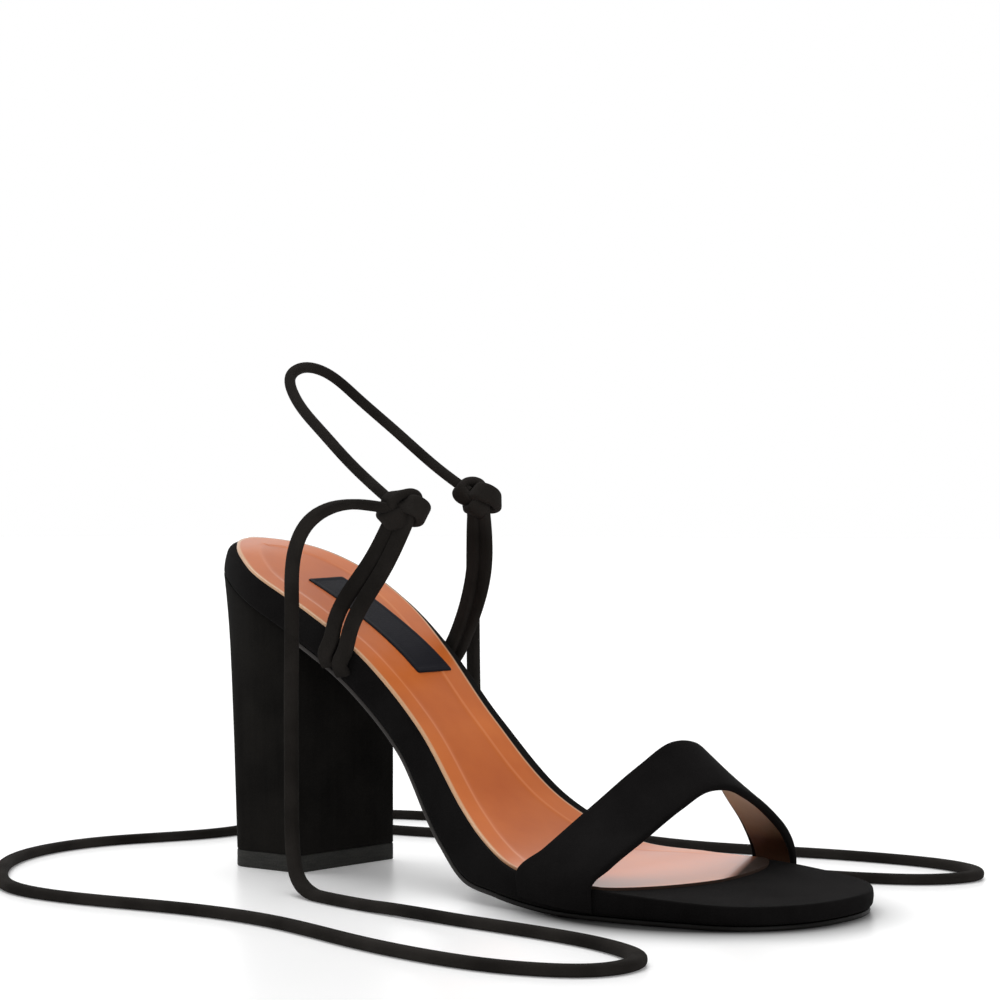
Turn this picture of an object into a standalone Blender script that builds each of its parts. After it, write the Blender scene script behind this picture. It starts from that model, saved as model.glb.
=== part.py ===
"""Block heel sandal with ankle ties: one right shoe, standing empty on its sole.

X runs from heel to toe, minus Y is the outer side of the foot, Z is up and the floor is z = 0.
All sizes here are in millimetres, with x measured from the back of the heel seat. They become
metres, counted from the middle of the shoe's own box, where a mesh or a curve is made.
"""
import math

import bmesh
import bpy
import numpy as np
from mathutils import Vector

MM = 0.001
GAP = 0.3
ORIGIN = Vector((107.3, 0.7, 0.0))

# Driving dimensions of the last and the sole
SHOE_LENGTH = 216.0
HEEL_ROUND = 36.0
HEEL_ROUND_POWER = 2.0
TOE_ROUND = 26.0
TOE_ROUND_POWER = 2.6
END_TRIM = 0.15
STATIONS = 34
END_CROWDING = 0.65
SLOPE_STEP = 0.5

# The last's bottom from heel to toe: station along X, height of the footbed's top,
# half widths to the outer and inner side before the ends are rounded, board thickness
LAST_COLUMNS = ("station", "top", "outer", "inner", "board")
LAST_ROWS = (
    (0.0, 97.2, 20.6, 22.6, 9.0),
    (14.0, 93.2, 22.2, 23.2, 9.0),
    (31.0, 86.0, 24.8, 23.9, 9.0),
    (52.0, 75.6, 25.6, 21.8, 9.2),
    (72.0, 62.8, 24.6, 16.8, 9.4),
    (92.0, 44.8, 24.6, 13.8, 9.5),
    (113.0, 23.4, 30.0, 18.6, 12.0),
    (122.0, 17.0, 33.2, 23.2, 12.3),
    (132.0, 11.9, 36.4, 29.0, 8.5),
    (150.0, 9.0, 39.0, 37.6, 7.3),
    (170.0, 7.8, 38.4, 40.6, 6.3),
    (190.0, 6.7, 34.8, 37.4, 5.2),
    (205.0, 6.3, 31.4, 31.8, 4.8),
    (216.0, 6.4, 27.4, 25.6, 4.7),
)

# The heel seat leans to the outer side: stations and rise towards the inner side
HEEL_LEAN = ((0.0, 20.0, 62.0), (0.045, 0.045, 0.0))

# Footbed wall from the bottom up: inset and height of the rings of its tucked bottom edge, then
# the radius of its rim along the shoe, with inset and drop of the rim's rings as shares of it
TUCK_RINGS = ((1.6, 0.0), (0.5, 0.5), (0.0, 1.6))
RIM_RADIUS = ((0.0, 8.0, 18.0, 32.0), (3.0, 2.8, 1.4, 0.5))
RIM_RINGS = ((0.0, 1.0), (0.29, 0.29), (1.0, 0.0))

# Outsole
OUTSOLE_BACK = 48.6
OUTSOLE_THICKNESS = 1.2
OUTSOLE_INSET = 0.8
OUTSOLE_BEVEL = 0.4

# Block heel: the breast is its upright front face
HEEL_BREAST = 43.8
HEEL_BASE_BACK = 15.4
HEEL_BASE_HALF_WIDTH = 21.0
HEEL_BASE_CORNER = 6.0
HEEL_TOP_INSET = 0.3
HEEL_WAIST_INSET = 1.8
HEEL_BACK_STEPS = 4
HEEL_CORNER_STEPS = 6
HEEL_SIDE_STEPS = 6
HEEL_CENTRE_GAP = 0.8
HEEL_SEAT_SAMPLES = 200
HEEL_RINGS = 6
LIFT_HEIGHT = 5.0
LIFT_BEVEL = 0.4

# Sock lining, with its inset from the footbed's edge along each side, and its plain label
SOCK_THICKNESS = 0.8
SOCK_OUTER_INSET = ((0.0, 6.0, 14.0, 26.0, 118.0, 134.0), (2.6, 2.4, 1.4, 0.5, 0.6, 1.3))
SOCK_INNER_INSET = (
    (0.0, 40.0, 60.0, 78.0, 100.0, 130.0, 150.0, 164.0, 176.0),
    (2.0, 1.4, 2.0, 3.4, 4.4, 4.6, 4.2, 3.0, 1.6),
)
SOCK_EDGE = 0.3
SOCK_TIP = 179.5
SOCK_OUTER_FRONT = (14.0, 1.7)
SOCK_INNER_FRONT = (14.0, 1.8)
LABEL_BACK = 34.4
LABEL_FRONT = 77.5
LABEL_HALF_WIDTH = 7.5
LABEL_THICKNESS = 0.6
LABEL_STATIONS = 10

# Toe strap: where its feet stand along the footbed's edge, how far they run down the wall,
# and its inner face from the outer to the inner side of the foot, back edge and front edge
STRAP_THICKNESS = 2.2
STRAP_OUTER_FEET = (139.0, 164.0)
STRAP_INNER_FEET = (160.0, 174.0)
STRAP_WALL_DEPTHS = (6.0, 3.0, 0.0)
STRAP_COLUMNS = ("across", "back_x", "back_z", "front_x", "front_z")
STRAP_ROWS = (
    (-35.0, 145.0, 15.5, 167.0, 12.8),
    (-23.5, 151.2, 25.5, 169.8, 19.4),
    (-10.0, 157.6, 36.6, 172.0, 26.4),
    (-1.0, 161.0, 42.2, 173.4, 30.0),
    (6.0, 162.0, 41.8, 174.4, 30.0),
    (16.0, 161.0, 36.0, 175.4, 26.6),
    (27.0, 159.2, 26.6, 175.6, 20.8),
    (35.5, 159.8, 17.0, 175.2, 14.6),
)
STRAP_STEPS = 4
STRAP_SEGMENTS = 5

# Flat suede cord of the stays and the heel loop, and the knots that gather them
CORD_WIDTH = 4.6
CORD_THICKNESS = 3.1
CORD_STEP = 5.0
CORD_EASE = 0.3
ROUTE_SAMPLES = 40
STAY_WIDTH = 4.9
STAY_THICKNESS = 2.3
OUTER_KNOT = (88.4, -26.0, 105.5)
INNER_KNOT = (76.4, 21.0, 109.0)
KNOT_RADII = (6.6, 4.6, 5.2)
KNOT_WRAP_RADIUS = 4.4
KNOT_CROSS_RADIUS = 4.0
KNOT_WRAP_CORD = 2.3
OUTER_KNOT_LEAN = 0.6
INNER_KNOT_LEAN = 0.3
BALL_RINGS = 7
BALL_SIDES = 12
WRAP_STEPS = 16
WRAP_SIDES = 8

# Stays: place along X and height of each cord's foot, height where it clears the footbed's rim and
# how far it has leant there, the share of its way to the knot that it has leant half way up, where
# along X it enters the knot, and how many thicknesses it lies outside its neighbour
STAY_COLUMNS = ("foot_x", "foot_z", "rim_z", "rim_lean", "lean", "knot_shift", "layer")
OUTER_STAYS = ((59.8, 62.5, 73.0, 3.6, 0.6, -2.6, 0.0), (65.0, 60.0, 70.0, 3.6, 0.6, 2.6, 0.0))
INNER_STAYS = ((61.6, 59.0, 68.6, 6.0, 1.0, -1.8, 0.0), (63.4, 58.0, 67.6, 6.0, 1.04, 1.8, 0.8))
STAY_KNOT_DROP = 3.0

# Heel loop from knot to knot behind the ankle, which it faces from its axis
ANKLE_AXIS = (62.0, -2.5)
HEEL_LOOP_ROUTE = (
    (84.0, -25.8, 107.6),
    (67.6, -23.5, 117.6),
    (50.4, -18.8, 128.4),
    (34.0, -13.0, 139.8),
    (28.6, -8.0, 145.8),
    (28.2, -2.0, 148.2),
    (30.4, 4.6, 147.0),
    (37.5, 10.5, 139.8),
    (50.0, 15.0, 128.8),
    (64.0, 18.2, 117.5),
    (74.5, 20.2, 110.5),
)

# Ties: from their knots they hang to the floor and lie there in loose curves
TIE_DIAMETER = 4.4
TIE_SPACING = 9.0
FLOOR_CORD = 2.3
OUTER_TIE_ROUTE = (
    (84.8, -31.4, 106.1),
    (80.6, -36.0, 106.8),
    (74.8, -40.8, 105.8),
    (69.4, -44.3, 101.6),
    (66.4, -46.0, 94.8),
    (65.4, -46.5, 80.0),
    (65.4, -46.7, 55.0),
    (66.0, -47.2, 30.0),
    (68.0, -49.0, 14.8),
    (73.6, -52.8, 5.6),
    (84.0, -57.0, FLOOR_CORD),
    (109.0, -62.2, FLOOR_CORD),
    (143.0, -66.0, FLOOR_CORD),
    (174.0, -69.0, FLOOR_CORD),
    (200.0, -76.0, FLOOR_CORD),
    (213.0, -87.0, FLOOR_CORD),
    (213.0, -101.0, FLOOR_CORD),
    (200.0, -110.0, FLOOR_CORD),
    (174.0, -112.0, FLOOR_CORD),
    (141.0, -106.0, FLOOR_CORD),
    (107.0, -97.0, FLOOR_CORD),
    (73.0, -96.0, FLOOR_CORD),
    (40.0, -101.0, FLOOR_CORD),
    (11.0, -99.0, FLOOR_CORD),
    (-13.0, -84.0, FLOOR_CORD),
    (-33.0, -64.0, FLOOR_CORD),
    (-46.0, -39.0, FLOOR_CORD),
    (-47.0, -11.0, FLOOR_CORD),
    (-38.0, 14.0, FLOOR_CORD),
    (-36.0, 37.0, FLOOR_CORD),
    (-46.0, 57.0, FLOOR_CORD),
)
INNER_TIE_ROUTE = (
    (72.2, 26.8, 108.6),
    (70.0, 28.9, 108.7),
    (66.1, 32.4, 107.2),
    (63.0, 35.4, 103.0),
    (61.8, 36.6, 97.4),
    (61.4, 37.0, 80.0),
    (61.5, 37.2, 55.0),
    (61.9, 37.6, 30.0),
    (63.6, 38.6, 14.8),
    (69.2, 41.0, 5.6),
    (79.0, 43.4, FLOOR_CORD),
    (102.0, 48.0, FLOOR_CORD),
    (130.0, 56.0, FLOOR_CORD),
    (158.0, 60.0, FLOOR_CORD),
    (183.0, 66.0, FLOOR_CORD),
    (199.0, 76.0, FLOOR_CORD),
    (203.0, 90.0, FLOOR_CORD),
    (192.0, 102.0, FLOOR_CORD),
    (168.0, 106.0, FLOOR_CORD),
    (138.0, 102.0, FLOOR_CORD),
    (106.0, 95.0, FLOOR_CORD),
    (74.0, 98.0, FLOOR_CORD),
    (42.0, 106.0, FLOOR_CORD),
    (11.0, 108.0, FLOOR_CORD),
    (-17.0, 103.0, FLOOR_CORD),
    (-33.0, 94.0, FLOOR_CORD),
    (-36.0, 80.0, FLOOR_CORD),
    (-25.0, 69.0, FLOOR_CORD),
    (-2.0, 66.0, FLOOR_CORD),
    (26.0, 71.0, FLOOR_CORD),
    (54.0, 76.0, FLOOR_CORD),
    (78.0, 74.0, FLOOR_CORD),
)
END_KNOT_RADIUS = 4.3
END_STUB_LENGTH = 5.0
END_STUB_WIDTH = 4.0


def smooth(knots, values, at, slopes=None):
    """Cubic curve through table values, with slopes taken from each row's neighbours if not given."""
    knots = np.asarray(knots, float)
    values = np.asarray(values, float)
    if slopes is None:
        slopes = np.gradient(values, knots)
    at = np.clip(np.asarray(at, float), knots[0], knots[-1])
    row = np.clip(np.searchsorted(knots, at, side="right") - 1, 0, len(knots) - 2)
    width = knots[row + 1] - knots[row]
    t = (at - knots[row]) / width
    return (
        (2 * t**3 - 3 * t**2 + 1) * values[row]
        + (t**3 - 2 * t**2 + t) * width * slopes[row]
        + (3 * t**2 - 2 * t**3) * values[row + 1]
        + (t**3 - t**2) * width * slopes[row + 1]
    )


def even_slopes(knots, values):
    """Slopes that make the curve through table values bend evenly, as a limp cord does."""
    rows = len(knots)
    inverse = 1.0 / np.diff(knots)
    rise = 3.0 * np.diff(values) * inverse**2
    matrix = np.zeros((rows, rows))
    ends = np.zeros(rows)
    for i in range(rows - 1):
        matrix[i, i] += 2 * inverse[i]
        matrix[i + 1, i + 1] += 2 * inverse[i]
        matrix[i, i + 1] = matrix[i + 1, i] = inverse[i]
        ends[i] += rise[i]
        ends[i + 1] += rise[i]
    return np.linalg.solve(matrix, ends)


def last(column, station):
    """One column of the last's table at a station."""
    rows = np.array(LAST_ROWS)
    return smooth(rows[:, 0], rows[:, LAST_COLUMNS.index(column)], station)


def rounded_end(distance, length, power):
    """Share of the full width at a distance from a rounded end."""
    t = np.clip(1.0 - np.asarray(distance, float) / length, 0.0, 1.0)
    return (1.0 - t**power) ** (1.0 / power)


def half_width(side, station):
    """Footbed half width to the outer (-1) or inner (+1) side, with heel and toe rounded."""
    column = "outer" if side < 0 else "inner"
    station = np.asarray(station, float)
    heel = rounded_end(station, HEEL_ROUND, HEEL_ROUND_POWER)
    toe = rounded_end(SHOE_LENGTH - station, TOE_ROUND, TOE_ROUND_POWER)
    return last(column, station) * heel * toe


def place(station, across, height):
    """Point at a height above the footbed's top, measured square to it in the XZ plane."""
    ahead = last("top", station + SLOPE_STEP)
    rise = (ahead - last("top", station - SLOPE_STEP)) / (2 * SLOPE_STEP)
    length = math.hypot(1.0, rise)
    top = last("top", station) + across * np.interp(station, *HEEL_LEAN)
    return (station - height * rise / length, across, top + height / length)


def station_grid(start, end, count):
    """Stations that crowd towards both ends, where the outline turns fastest."""
    even = np.linspace(0, 1, count)
    crowded = (1 - np.cos(math.pi * even)) / 2
    return start + (end - start) * ((1 - END_CROWDING) * even + END_CROWDING * crowded)


def outline(stations, outer, inner, inset=0.0):
    """Closed plan outline, outer side heel to toe and inner side back, moved inwards by an inset
    that is one distance or one for each point."""
    loop = [(x, -w) for x, w in zip(stations, outer)]
    loop += [(x, w) for x, w in zip(stations[::-1], inner[::-1])]
    insets = np.broadcast_to(inset, len(loop))
    moved = []
    for i, (x, y) in enumerate(loop):
        ahead = loop[(i + 1) % len(loop)]
        behind = loop[i - 1]
        run = (ahead[0] - behind[0], ahead[1] - behind[1])
        length = math.hypot(*run)
        moved.append((x - insets[i] * run[1] / length, y + insets[i] * run[0] / length))
    return moved


def material(name, colour, roughness):
    """Plain finish of one piece."""
    made = bpy.data.materials.new(name)
    made.use_nodes = True
    shader = made.node_tree.nodes["Principled BSDF"]
    shader.inputs["Base Color"].default_value = (*colour, 1.0)
    shader.inputs["Roughness"].default_value = roughness
    shader.inputs["Metallic"].default_value = 0.0
    return made


def add_mesh(name, points, faces, finish):
    """Object from points in millimetres, with its faces turned outwards."""
    mesh = bpy.data.meshes.new(name)
    mesh.from_pydata([(Vector(p) - ORIGIN) * MM for p in points], [], faces)
    work = bmesh.new()
    work.from_mesh(mesh)
    bmesh.ops.recalc_face_normals(work, faces=work.faces)
    if work.calc_volume(signed=True) < 0:
        bmesh.ops.reverse_faces(work, faces=work.faces)
    work.to_mesh(mesh)
    work.free()
    mesh.materials.append(finish)
    mesh.shade_smooth()
    mesh.set_sharp_from_angle(angle=math.radians(35))
    made = bpy.data.objects.new(name, mesh)
    bpy.context.scene.collection.objects.link(made)
    return made


def loft(name, rings, finish):
    """Closed solid through rings of equal count, its two ends filled across from side to side."""
    count = len(rings[0])
    points = [p for ring in rings for p in ring]
    faces = []
    for k in range(len(rings) - 1):
        for i in range(count):
            j = (i + 1) % count
            faces.append((k * count + i, k * count + j, (k + 1) * count + j, (k + 1) * count + i))
    for base in (0, (len(rings) - 1) * count):
        for i in range(count // 2 - 1):
            far = count - 1 - i
            faces.append((base + i, base + i + 1, base + far - 1, base + far))
    return add_mesh(name, points, faces, finish)


def make_footbed(finish):
    """Wrapped board: a bottom edge rolled under, an upright wall and a softened rim."""
    stations = station_grid(END_TRIM, SHOE_LENGTH - END_TRIM, STATIONS)
    sides = [half_width(side, stations) for side in (-1, 1)]
    rim = np.interp(stations, *RIM_RADIUS)
    rim = np.concatenate([rim, rim[::-1]])
    rings = []
    for inset, lift in TUCK_RINGS:
        loop = outline(stations, *sides, inset)
        rings.append([place(x, y, lift - last("board", x)) for x, y in loop])
    for inset, drop in RIM_RINGS:
        loop = outline(stations, *sides, inset * rim)
        rings.append([place(x, y, -drop * radius) for (x, y), radius in zip(loop, rim)])
    return loft("footbed", rings, finish)


def make_outsole(finish):
    """Thin sole from the heel's breast to the toe, flat on the floor under the ball."""
    stations = station_grid(OUTSOLE_BACK, SHOE_LENGTH - END_TRIM, STATIONS)
    sides = [half_width(side, stations) for side in (-1, 1)]
    levels = (
        (OUTSOLE_THICKNESS, OUTSOLE_INSET + OUTSOLE_BEVEL),
        (OUTSOLE_THICKNESS - OUTSOLE_BEVEL, OUTSOLE_INSET),
        (0.0, OUTSOLE_INSET),
    )
    rings = []
    for depth, inset in levels:
        ring = []
        for x, y in outline(stations, *sides, inset):
            point = place(x, y, -last("board", x) - GAP - depth)
            ring.append((point[0], point[1], max(point[2], 0.0)))
        rings.append(ring)
    return loft("outsole", rings, finish)


def along(points, shares):
    """Points at shares of the length of a line through points."""
    points = np.array(points)
    travel = np.concatenate([[0.0], np.cumsum(np.linalg.norm(np.diff(points, axis=0), axis=1))])
    return np.stack([np.interp(shares * travel[-1], travel, column) for column in points.T], axis=1)


def heel_base_side():
    """Half outline of the heel's foot, from the back's middle round the corner to the breast."""
    flat = HEEL_BASE_HALF_WIDTH - HEEL_BASE_CORNER
    side = [(HEEL_BASE_BACK, y) for y in np.linspace(HEEL_CENTRE_GAP, flat, HEEL_BACK_STEPS)]
    for turn in np.linspace(0, math.pi / 2, HEEL_CORNER_STEPS)[1:]:
        x = HEEL_BASE_BACK + HEEL_BASE_CORNER * (1 - math.cos(turn))
        side.append((x, flat + HEEL_BASE_CORNER * math.sin(turn)))
    side += [(x, HEEL_BASE_HALF_WIDTH) for x in np.linspace(side[-1][0], HEEL_BREAST, HEEL_SIDE_STEPS)[1:]]
    return np.array(side)


def heel_base(inset=0.0):
    """Plan outline of the heel's foot: square at the breast, rounded behind."""
    side = heel_base_side()
    return outline(side[:, 0], side[:, 1], side[:, 1], inset)


def heel_seat():
    """Top outline of the heel, on the footbed's underside from the back to the breast."""
    trial = np.linspace(END_TRIM, OUTSOLE_BACK + HEEL_WAIST_INSET, HEEL_SEAT_SAMPLES)
    reach = [place(s, 0.0, -last("board", s) - GAP)[0] for s in trial]
    front = float(np.interp(HEEL_BREAST, reach, trial))
    stations = station_grid(END_TRIM, front, HEEL_SEAT_SAMPLES)
    inset = HEEL_TOP_INSET + (HEEL_WAIST_INSET - HEEL_TOP_INSET) * (stations / front)
    base = heel_base_side()
    travel = np.concatenate([[0.0], np.cumsum(np.linalg.norm(np.diff(base, axis=0), axis=1))])
    loop = []
    for side in (-1, 1):
        widths = np.maximum(half_width(side, stations) - inset, HEEL_CENTRE_GAP)
        edge = along(np.stack([stations, side * widths], axis=1), travel / travel[-1])
        loop += [tuple(point) for point in edge[::-side]]
    return [place(x, y, -last("board", x) - GAP) for x, y in loop]


def make_heel(finish):
    """Block heel: straight faces between the square foot and the rounded seat."""
    base = heel_base()
    seat = heel_seat()
    foot_z = LIFT_HEIGHT + GAP
    rings = []
    for share in np.linspace(0, 1, HEEL_RINGS):
        ring = []
        for (base_x, base_y), (seat_x, seat_y, seat_z) in zip(base, seat):
            ring.append((
                base_x + (seat_x - base_x) * share,
                base_y + (seat_y - base_y) * share,
                foot_z + (seat_z - foot_z) * share,
            ))
        rings.append(ring)
    return loft("heel_block", rings, finish)


def make_lift(finish):
    """Rubber top piece on the heel's foot, its lower edge eased."""
    levels = ((0.0, LIFT_BEVEL), (LIFT_BEVEL, 0.0), (LIFT_HEIGHT, 0.0))
    rings = [[(x, y, z) for x, y in heel_base(inset)] for z, inset in levels]
    return loft("heel_lift", rings, finish)


def make_sock(finish):
    """Leather sock over the footbed, ending in a rounded tongue under the toes."""
    stations = station_grid(END_TRIM, SOCK_TIP - END_TRIM, STATIONS)
    sides = []
    for side, front in ((-1, SOCK_OUTER_FRONT), (1, SOCK_INNER_FRONT)):
        sides.append(half_width(side, stations) * rounded_end(SOCK_TIP - stations, *front))
    margin = np.concatenate([
        np.interp(stations, *SOCK_OUTER_INSET), np.interp(stations, *SOCK_INNER_INSET)[::-1]])
    levels = ((0.0, 0.0), (SOCK_THICKNESS - SOCK_EDGE, 0.0), (SOCK_THICKNESS, SOCK_EDGE))
    rings = []
    for height, inset in levels:
        loop = outline(stations, *sides, margin + inset)
        rings.append([place(x, y, GAP + height) for x, y in loop])
    return loft("sock_lining", rings, finish)


def make_label(finish):
    """Plain patch on the sock at the heel."""
    stations = np.linspace(LABEL_BACK, LABEL_FRONT, LABEL_STATIONS)
    sides = np.full(LABEL_STATIONS, LABEL_HALF_WIDTH)
    seat = 2 * GAP + SOCK_THICKNESS
    rings = []
    for height in (seat, seat + LABEL_THICKNESS):
        rings.append([place(x, y, height) for x, y in outline(stations, sides, sides)])
    return loft("sock_label", rings, finish)


def strap_wall_row(side, feet, depth):
    """Points of the strap's inner face down the footbed's side wall."""
    row = []
    for x in np.linspace(*feet, STRAP_SEGMENTS + 1):
        row.append((x, side * (half_width(side, x) + GAP), last("top", x) - depth))
    return row


def strap_inside():
    """Grid of points on the strap's inner face, from the outer foot over the arch to the inner foot."""
    rows = [strap_wall_row(-1, STRAP_OUTER_FEET, depth) for depth in STRAP_WALL_DEPTHS]
    shares = np.linspace(0, 1, STRAP_SEGMENTS + 1)
    for values in STRAP_ROWS:
        section = dict(zip(STRAP_COLUMNS, values))
        back = np.array((section["back_x"], section["across"], section["back_z"]))
        front = np.array((section["front_x"], section["across"], section["front_z"]))
        rows.append([tuple(back + (front - back) * share) for share in shares])
    rows += [strap_wall_row(1, STRAP_INNER_FEET, depth) for depth in STRAP_WALL_DEPTHS[::-1]]
    rows = np.array(rows)
    steps = np.linalg.norm(np.diff(rows[:, STRAP_SEGMENTS // 2], axis=0), axis=1)
    travel = np.concatenate([[0.0], np.cumsum(steps)])
    count = (len(rows) - 1) * STRAP_STEPS + 1
    fine = np.interp(np.linspace(0, len(rows) - 1, count), range(len(rows)), travel)
    grid = np.empty((count, STRAP_SEGMENTS + 1, 3))
    for column in range(STRAP_SEGMENTS + 1):
        for axis in range(3):
            grid[:, column, axis] = smooth(travel, rows[:, column, axis], fine)
    return grid


def make_toe_strap(finish):
    """Band over the toes: a wall of even thickness on a tent-shaped arch."""
    inside = strap_inside()
    normal = np.cross(np.gradient(inside, axis=1), np.gradient(inside, axis=0))
    normal /= np.linalg.norm(normal, axis=2, keepdims=True)
    if normal[len(normal) // 2, 0, 2] < 0:
        normal = -normal
    outside = inside + STRAP_THICKNESS * normal
    rows, columns = inside.shape[:2]
    points = np.concatenate([inside.reshape(-1, 3), outside.reshape(-1, 3)])

    def index(row, column, layer):
        return layer * rows * columns + row * columns + column

    faces = []
    for row in range(rows - 1):
        for column in range(columns - 1):
            corners = ((row, column), (row + 1, column), (row + 1, column + 1), (row, column + 1))
            for layer in (0, 1):
                faces.append([index(r, c, layer) for r, c in corners])
        for column in (0, columns - 1):
            edge = [index(row, column, 0), index(row + 1, column, 0)]
            faces.append(edge + [index(row + 1, column, 1), index(row, column, 1)])
    for row in (0, rows - 1):
        for column in range(columns - 1):
            edge = [index(row, column, 0), index(row, column + 1, 0)]
            faces.append(edge + [index(row, column + 1, 1), index(row, column, 1)])
    return add_mesh("toe_strap", points.tolist(), faces, finish)


def smooth_route(route, spacing):
    """Evenly spaced points on a smooth curve through a route's own points."""
    route = np.array(route, float)
    travel = np.concatenate([[0.0], np.cumsum(np.linalg.norm(np.diff(route, axis=0), axis=1))])
    dense_at = np.linspace(0, travel[-1], ROUTE_SAMPLES * len(route))
    columns = [smooth(travel, column, dense_at, even_slopes(travel, column)) for column in route.T]
    dense = np.stack(columns, axis=1)
    length = np.concatenate([[0.0], np.cumsum(np.linalg.norm(np.diff(dense, axis=0), axis=1))])
    even = np.linspace(0, length[-1], max(2, round(length[-1] / spacing) + 1))
    return np.stack([np.interp(even, length, dense[:, axis]) for axis in range(3)], axis=1)


def tube_faces(rings, sides, closed):
    """Faces of a tube of rings of points, either closed on itself or capped at both ends."""
    faces = []
    for k in range(rings if closed else rings - 1):
        ahead = (k + 1) % rings
        for i in range(sides):
            j = (i + 1) % sides
            faces.append((k * sides + i, k * sides + j, ahead * sides + j, ahead * sides + i))
    if not closed:
        faces.append(tuple(range(sides)))
        faces.append(tuple(range((rings - 1) * sides, rings * sides)))
    return faces


def flat_cord(name, route, width, thickness, outward, finish):
    """Flat cord swept along a route, its thin way facing outward(point)."""
    path = smooth_route(route, CORD_STEP)
    ease = thickness * CORD_EASE
    wide, thin = width / 2, thickness / 2
    section = (
        (wide, thin - ease), (wide - ease, thin), (ease - wide, thin), (-wide, thin - ease),
        (-wide, ease - thin), (ease - wide, -thin), (wide - ease, -thin), (wide, ease - thin),
    )
    points = []
    for point, tangent in zip(path, np.gradient(path, axis=0)):
        ahead = Vector(tangent).normalized()
        flat = ahead.cross(outward(point)).normalized()
        through = flat.cross(ahead)
        points += [Vector(point) + flat * a + through * b for a, b in section]
    return add_mesh(name, points, tube_faces(len(path), len(section), False), finish)


def ball(name, centre, radii, finish):
    """Egg-shaped core of a knot."""
    centre = Vector(centre)
    points = []
    for k in range(1, BALL_RINGS):
        polar = math.pi * k / BALL_RINGS
        for i in range(BALL_SIDES):
            turn = 2 * math.pi * i / BALL_SIDES
            points.append(centre + Vector((
                radii[0] * math.sin(polar) * math.cos(turn),
                radii[1] * math.sin(polar) * math.sin(turn),
                -radii[2] * math.cos(polar),
            )))
    return add_mesh(name, points, tube_faces(BALL_RINGS - 1, BALL_SIDES, False), finish)


def wrap(name, centre, axis, radius, cord_radius, finish):
    """One turn of cord round a knot."""
    axis = Vector(axis).normalized()
    first = axis.orthogonal().normalized()
    second = axis.cross(first)
    points = []
    for i in range(WRAP_STEPS):
        turn = 2 * math.pi * i / WRAP_STEPS
        spoke = first * math.cos(turn) + second * math.sin(turn)
        for k in range(WRAP_SIDES):
            roll = 2 * math.pi * k / WRAP_SIDES
            out = radius + cord_radius * math.cos(roll)
            points.append(Vector(centre) + spoke * out + axis * (cord_radius * math.sin(roll)))
    return add_mesh(name, points, tube_faces(WRAP_STEPS, WRAP_SIDES, True), finish)


def fuse(body, pieces):
    """Join pieces to a body with Boolean unions, and keep them only as guides."""
    for piece in pieces:
        piece.hide_render = True
        piece.display_type = "WIRE"
        union = body.modifiers.new(piece.name, "BOOLEAN")
        union.operation = "UNION"
        union.solver = "EXACT"
        union.object = piece
    return body


def stay_pieces(side, label, stays, knot, finish):
    """The two flat cords of one side stay, outside the footbed's wall and up into the knot."""
    pieces = []
    for number, values in enumerate(stays):
        stay = dict(zip(STAY_COLUMNS, values))
        foot_x, foot_z, rim_z, rim_lean = (stay[name] for name in STAY_COLUMNS[:4])
        slope = float(half_width(side, foot_x + 1) - half_width(side, foot_x - 1)) / 2
        outward = Vector((-slope, side, 0.0)).normalized()
        wall = Vector((foot_x, side * float(half_width(side, foot_x)), 0.0))
        seat = wall + outward * (2 * GAP + STAY_THICKNESS * (0.5 + stay["layer"]))
        entry = knot[0] + stay["knot_shift"]
        leant = seat.x + (entry - seat.x) * stay["lean"]
        route = (
            (seat.x, seat.y, foot_z),
            (seat.x + rim_lean / 2, seat.y, (foot_z + rim_z) / 2),
            (seat.x + rim_lean, seat.y, rim_z),
            (leant, (seat.y + knot[1]) / 2, (rim_z + knot[2]) / 2),
            (entry, knot[1], knot[2] - STAY_KNOT_DROP),
        )
        name = f"{label}_stay_{number}"
        pieces.append(flat_cord(name, route, STAY_WIDTH, STAY_THICKNESS, lambda point: outward, finish))
    return pieces


def knot_pieces(label, knot, lean, finish):
    """Core and two crossing turns of the knot that gathers a stay."""
    return [
        ball(f"{label}_knot_core", knot, KNOT_RADII, finish),
        wrap(f"{label}_knot_turn_0", knot, (lean, 0.25, 1.0), KNOT_WRAP_RADIUS, KNOT_WRAP_CORD, finish),
        wrap(f"{label}_knot_turn_1", knot, (1.0, 0.3, -lean), KNOT_CROSS_RADIUS, KNOT_WRAP_CORD, finish),
    ]


def make_ankle_straps(finish):
    """Side stays, knots and heel loop, one upper fused where its cords are knotted."""

    def from_ankle(point):
        return Vector((point[0] - ANKLE_AXIS[0], point[1] - ANKLE_AXIS[1], 0.0))

    body = flat_cord("ankle_straps", HEEL_LOOP_ROUTE, CORD_WIDTH, CORD_THICKNESS, from_ankle, finish)
    pieces = knot_pieces("outer", OUTER_KNOT, OUTER_KNOT_LEAN, finish)
    pieces += knot_pieces("inner", INNER_KNOT, INNER_KNOT_LEAN, finish)
    pieces += stay_pieces(-1, "outer", OUTER_STAYS, OUTER_KNOT, finish)
    pieces += stay_pieces(1, "inner", INNER_STAYS, INNER_KNOT, finish)
    return fuse(body, pieces)


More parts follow.
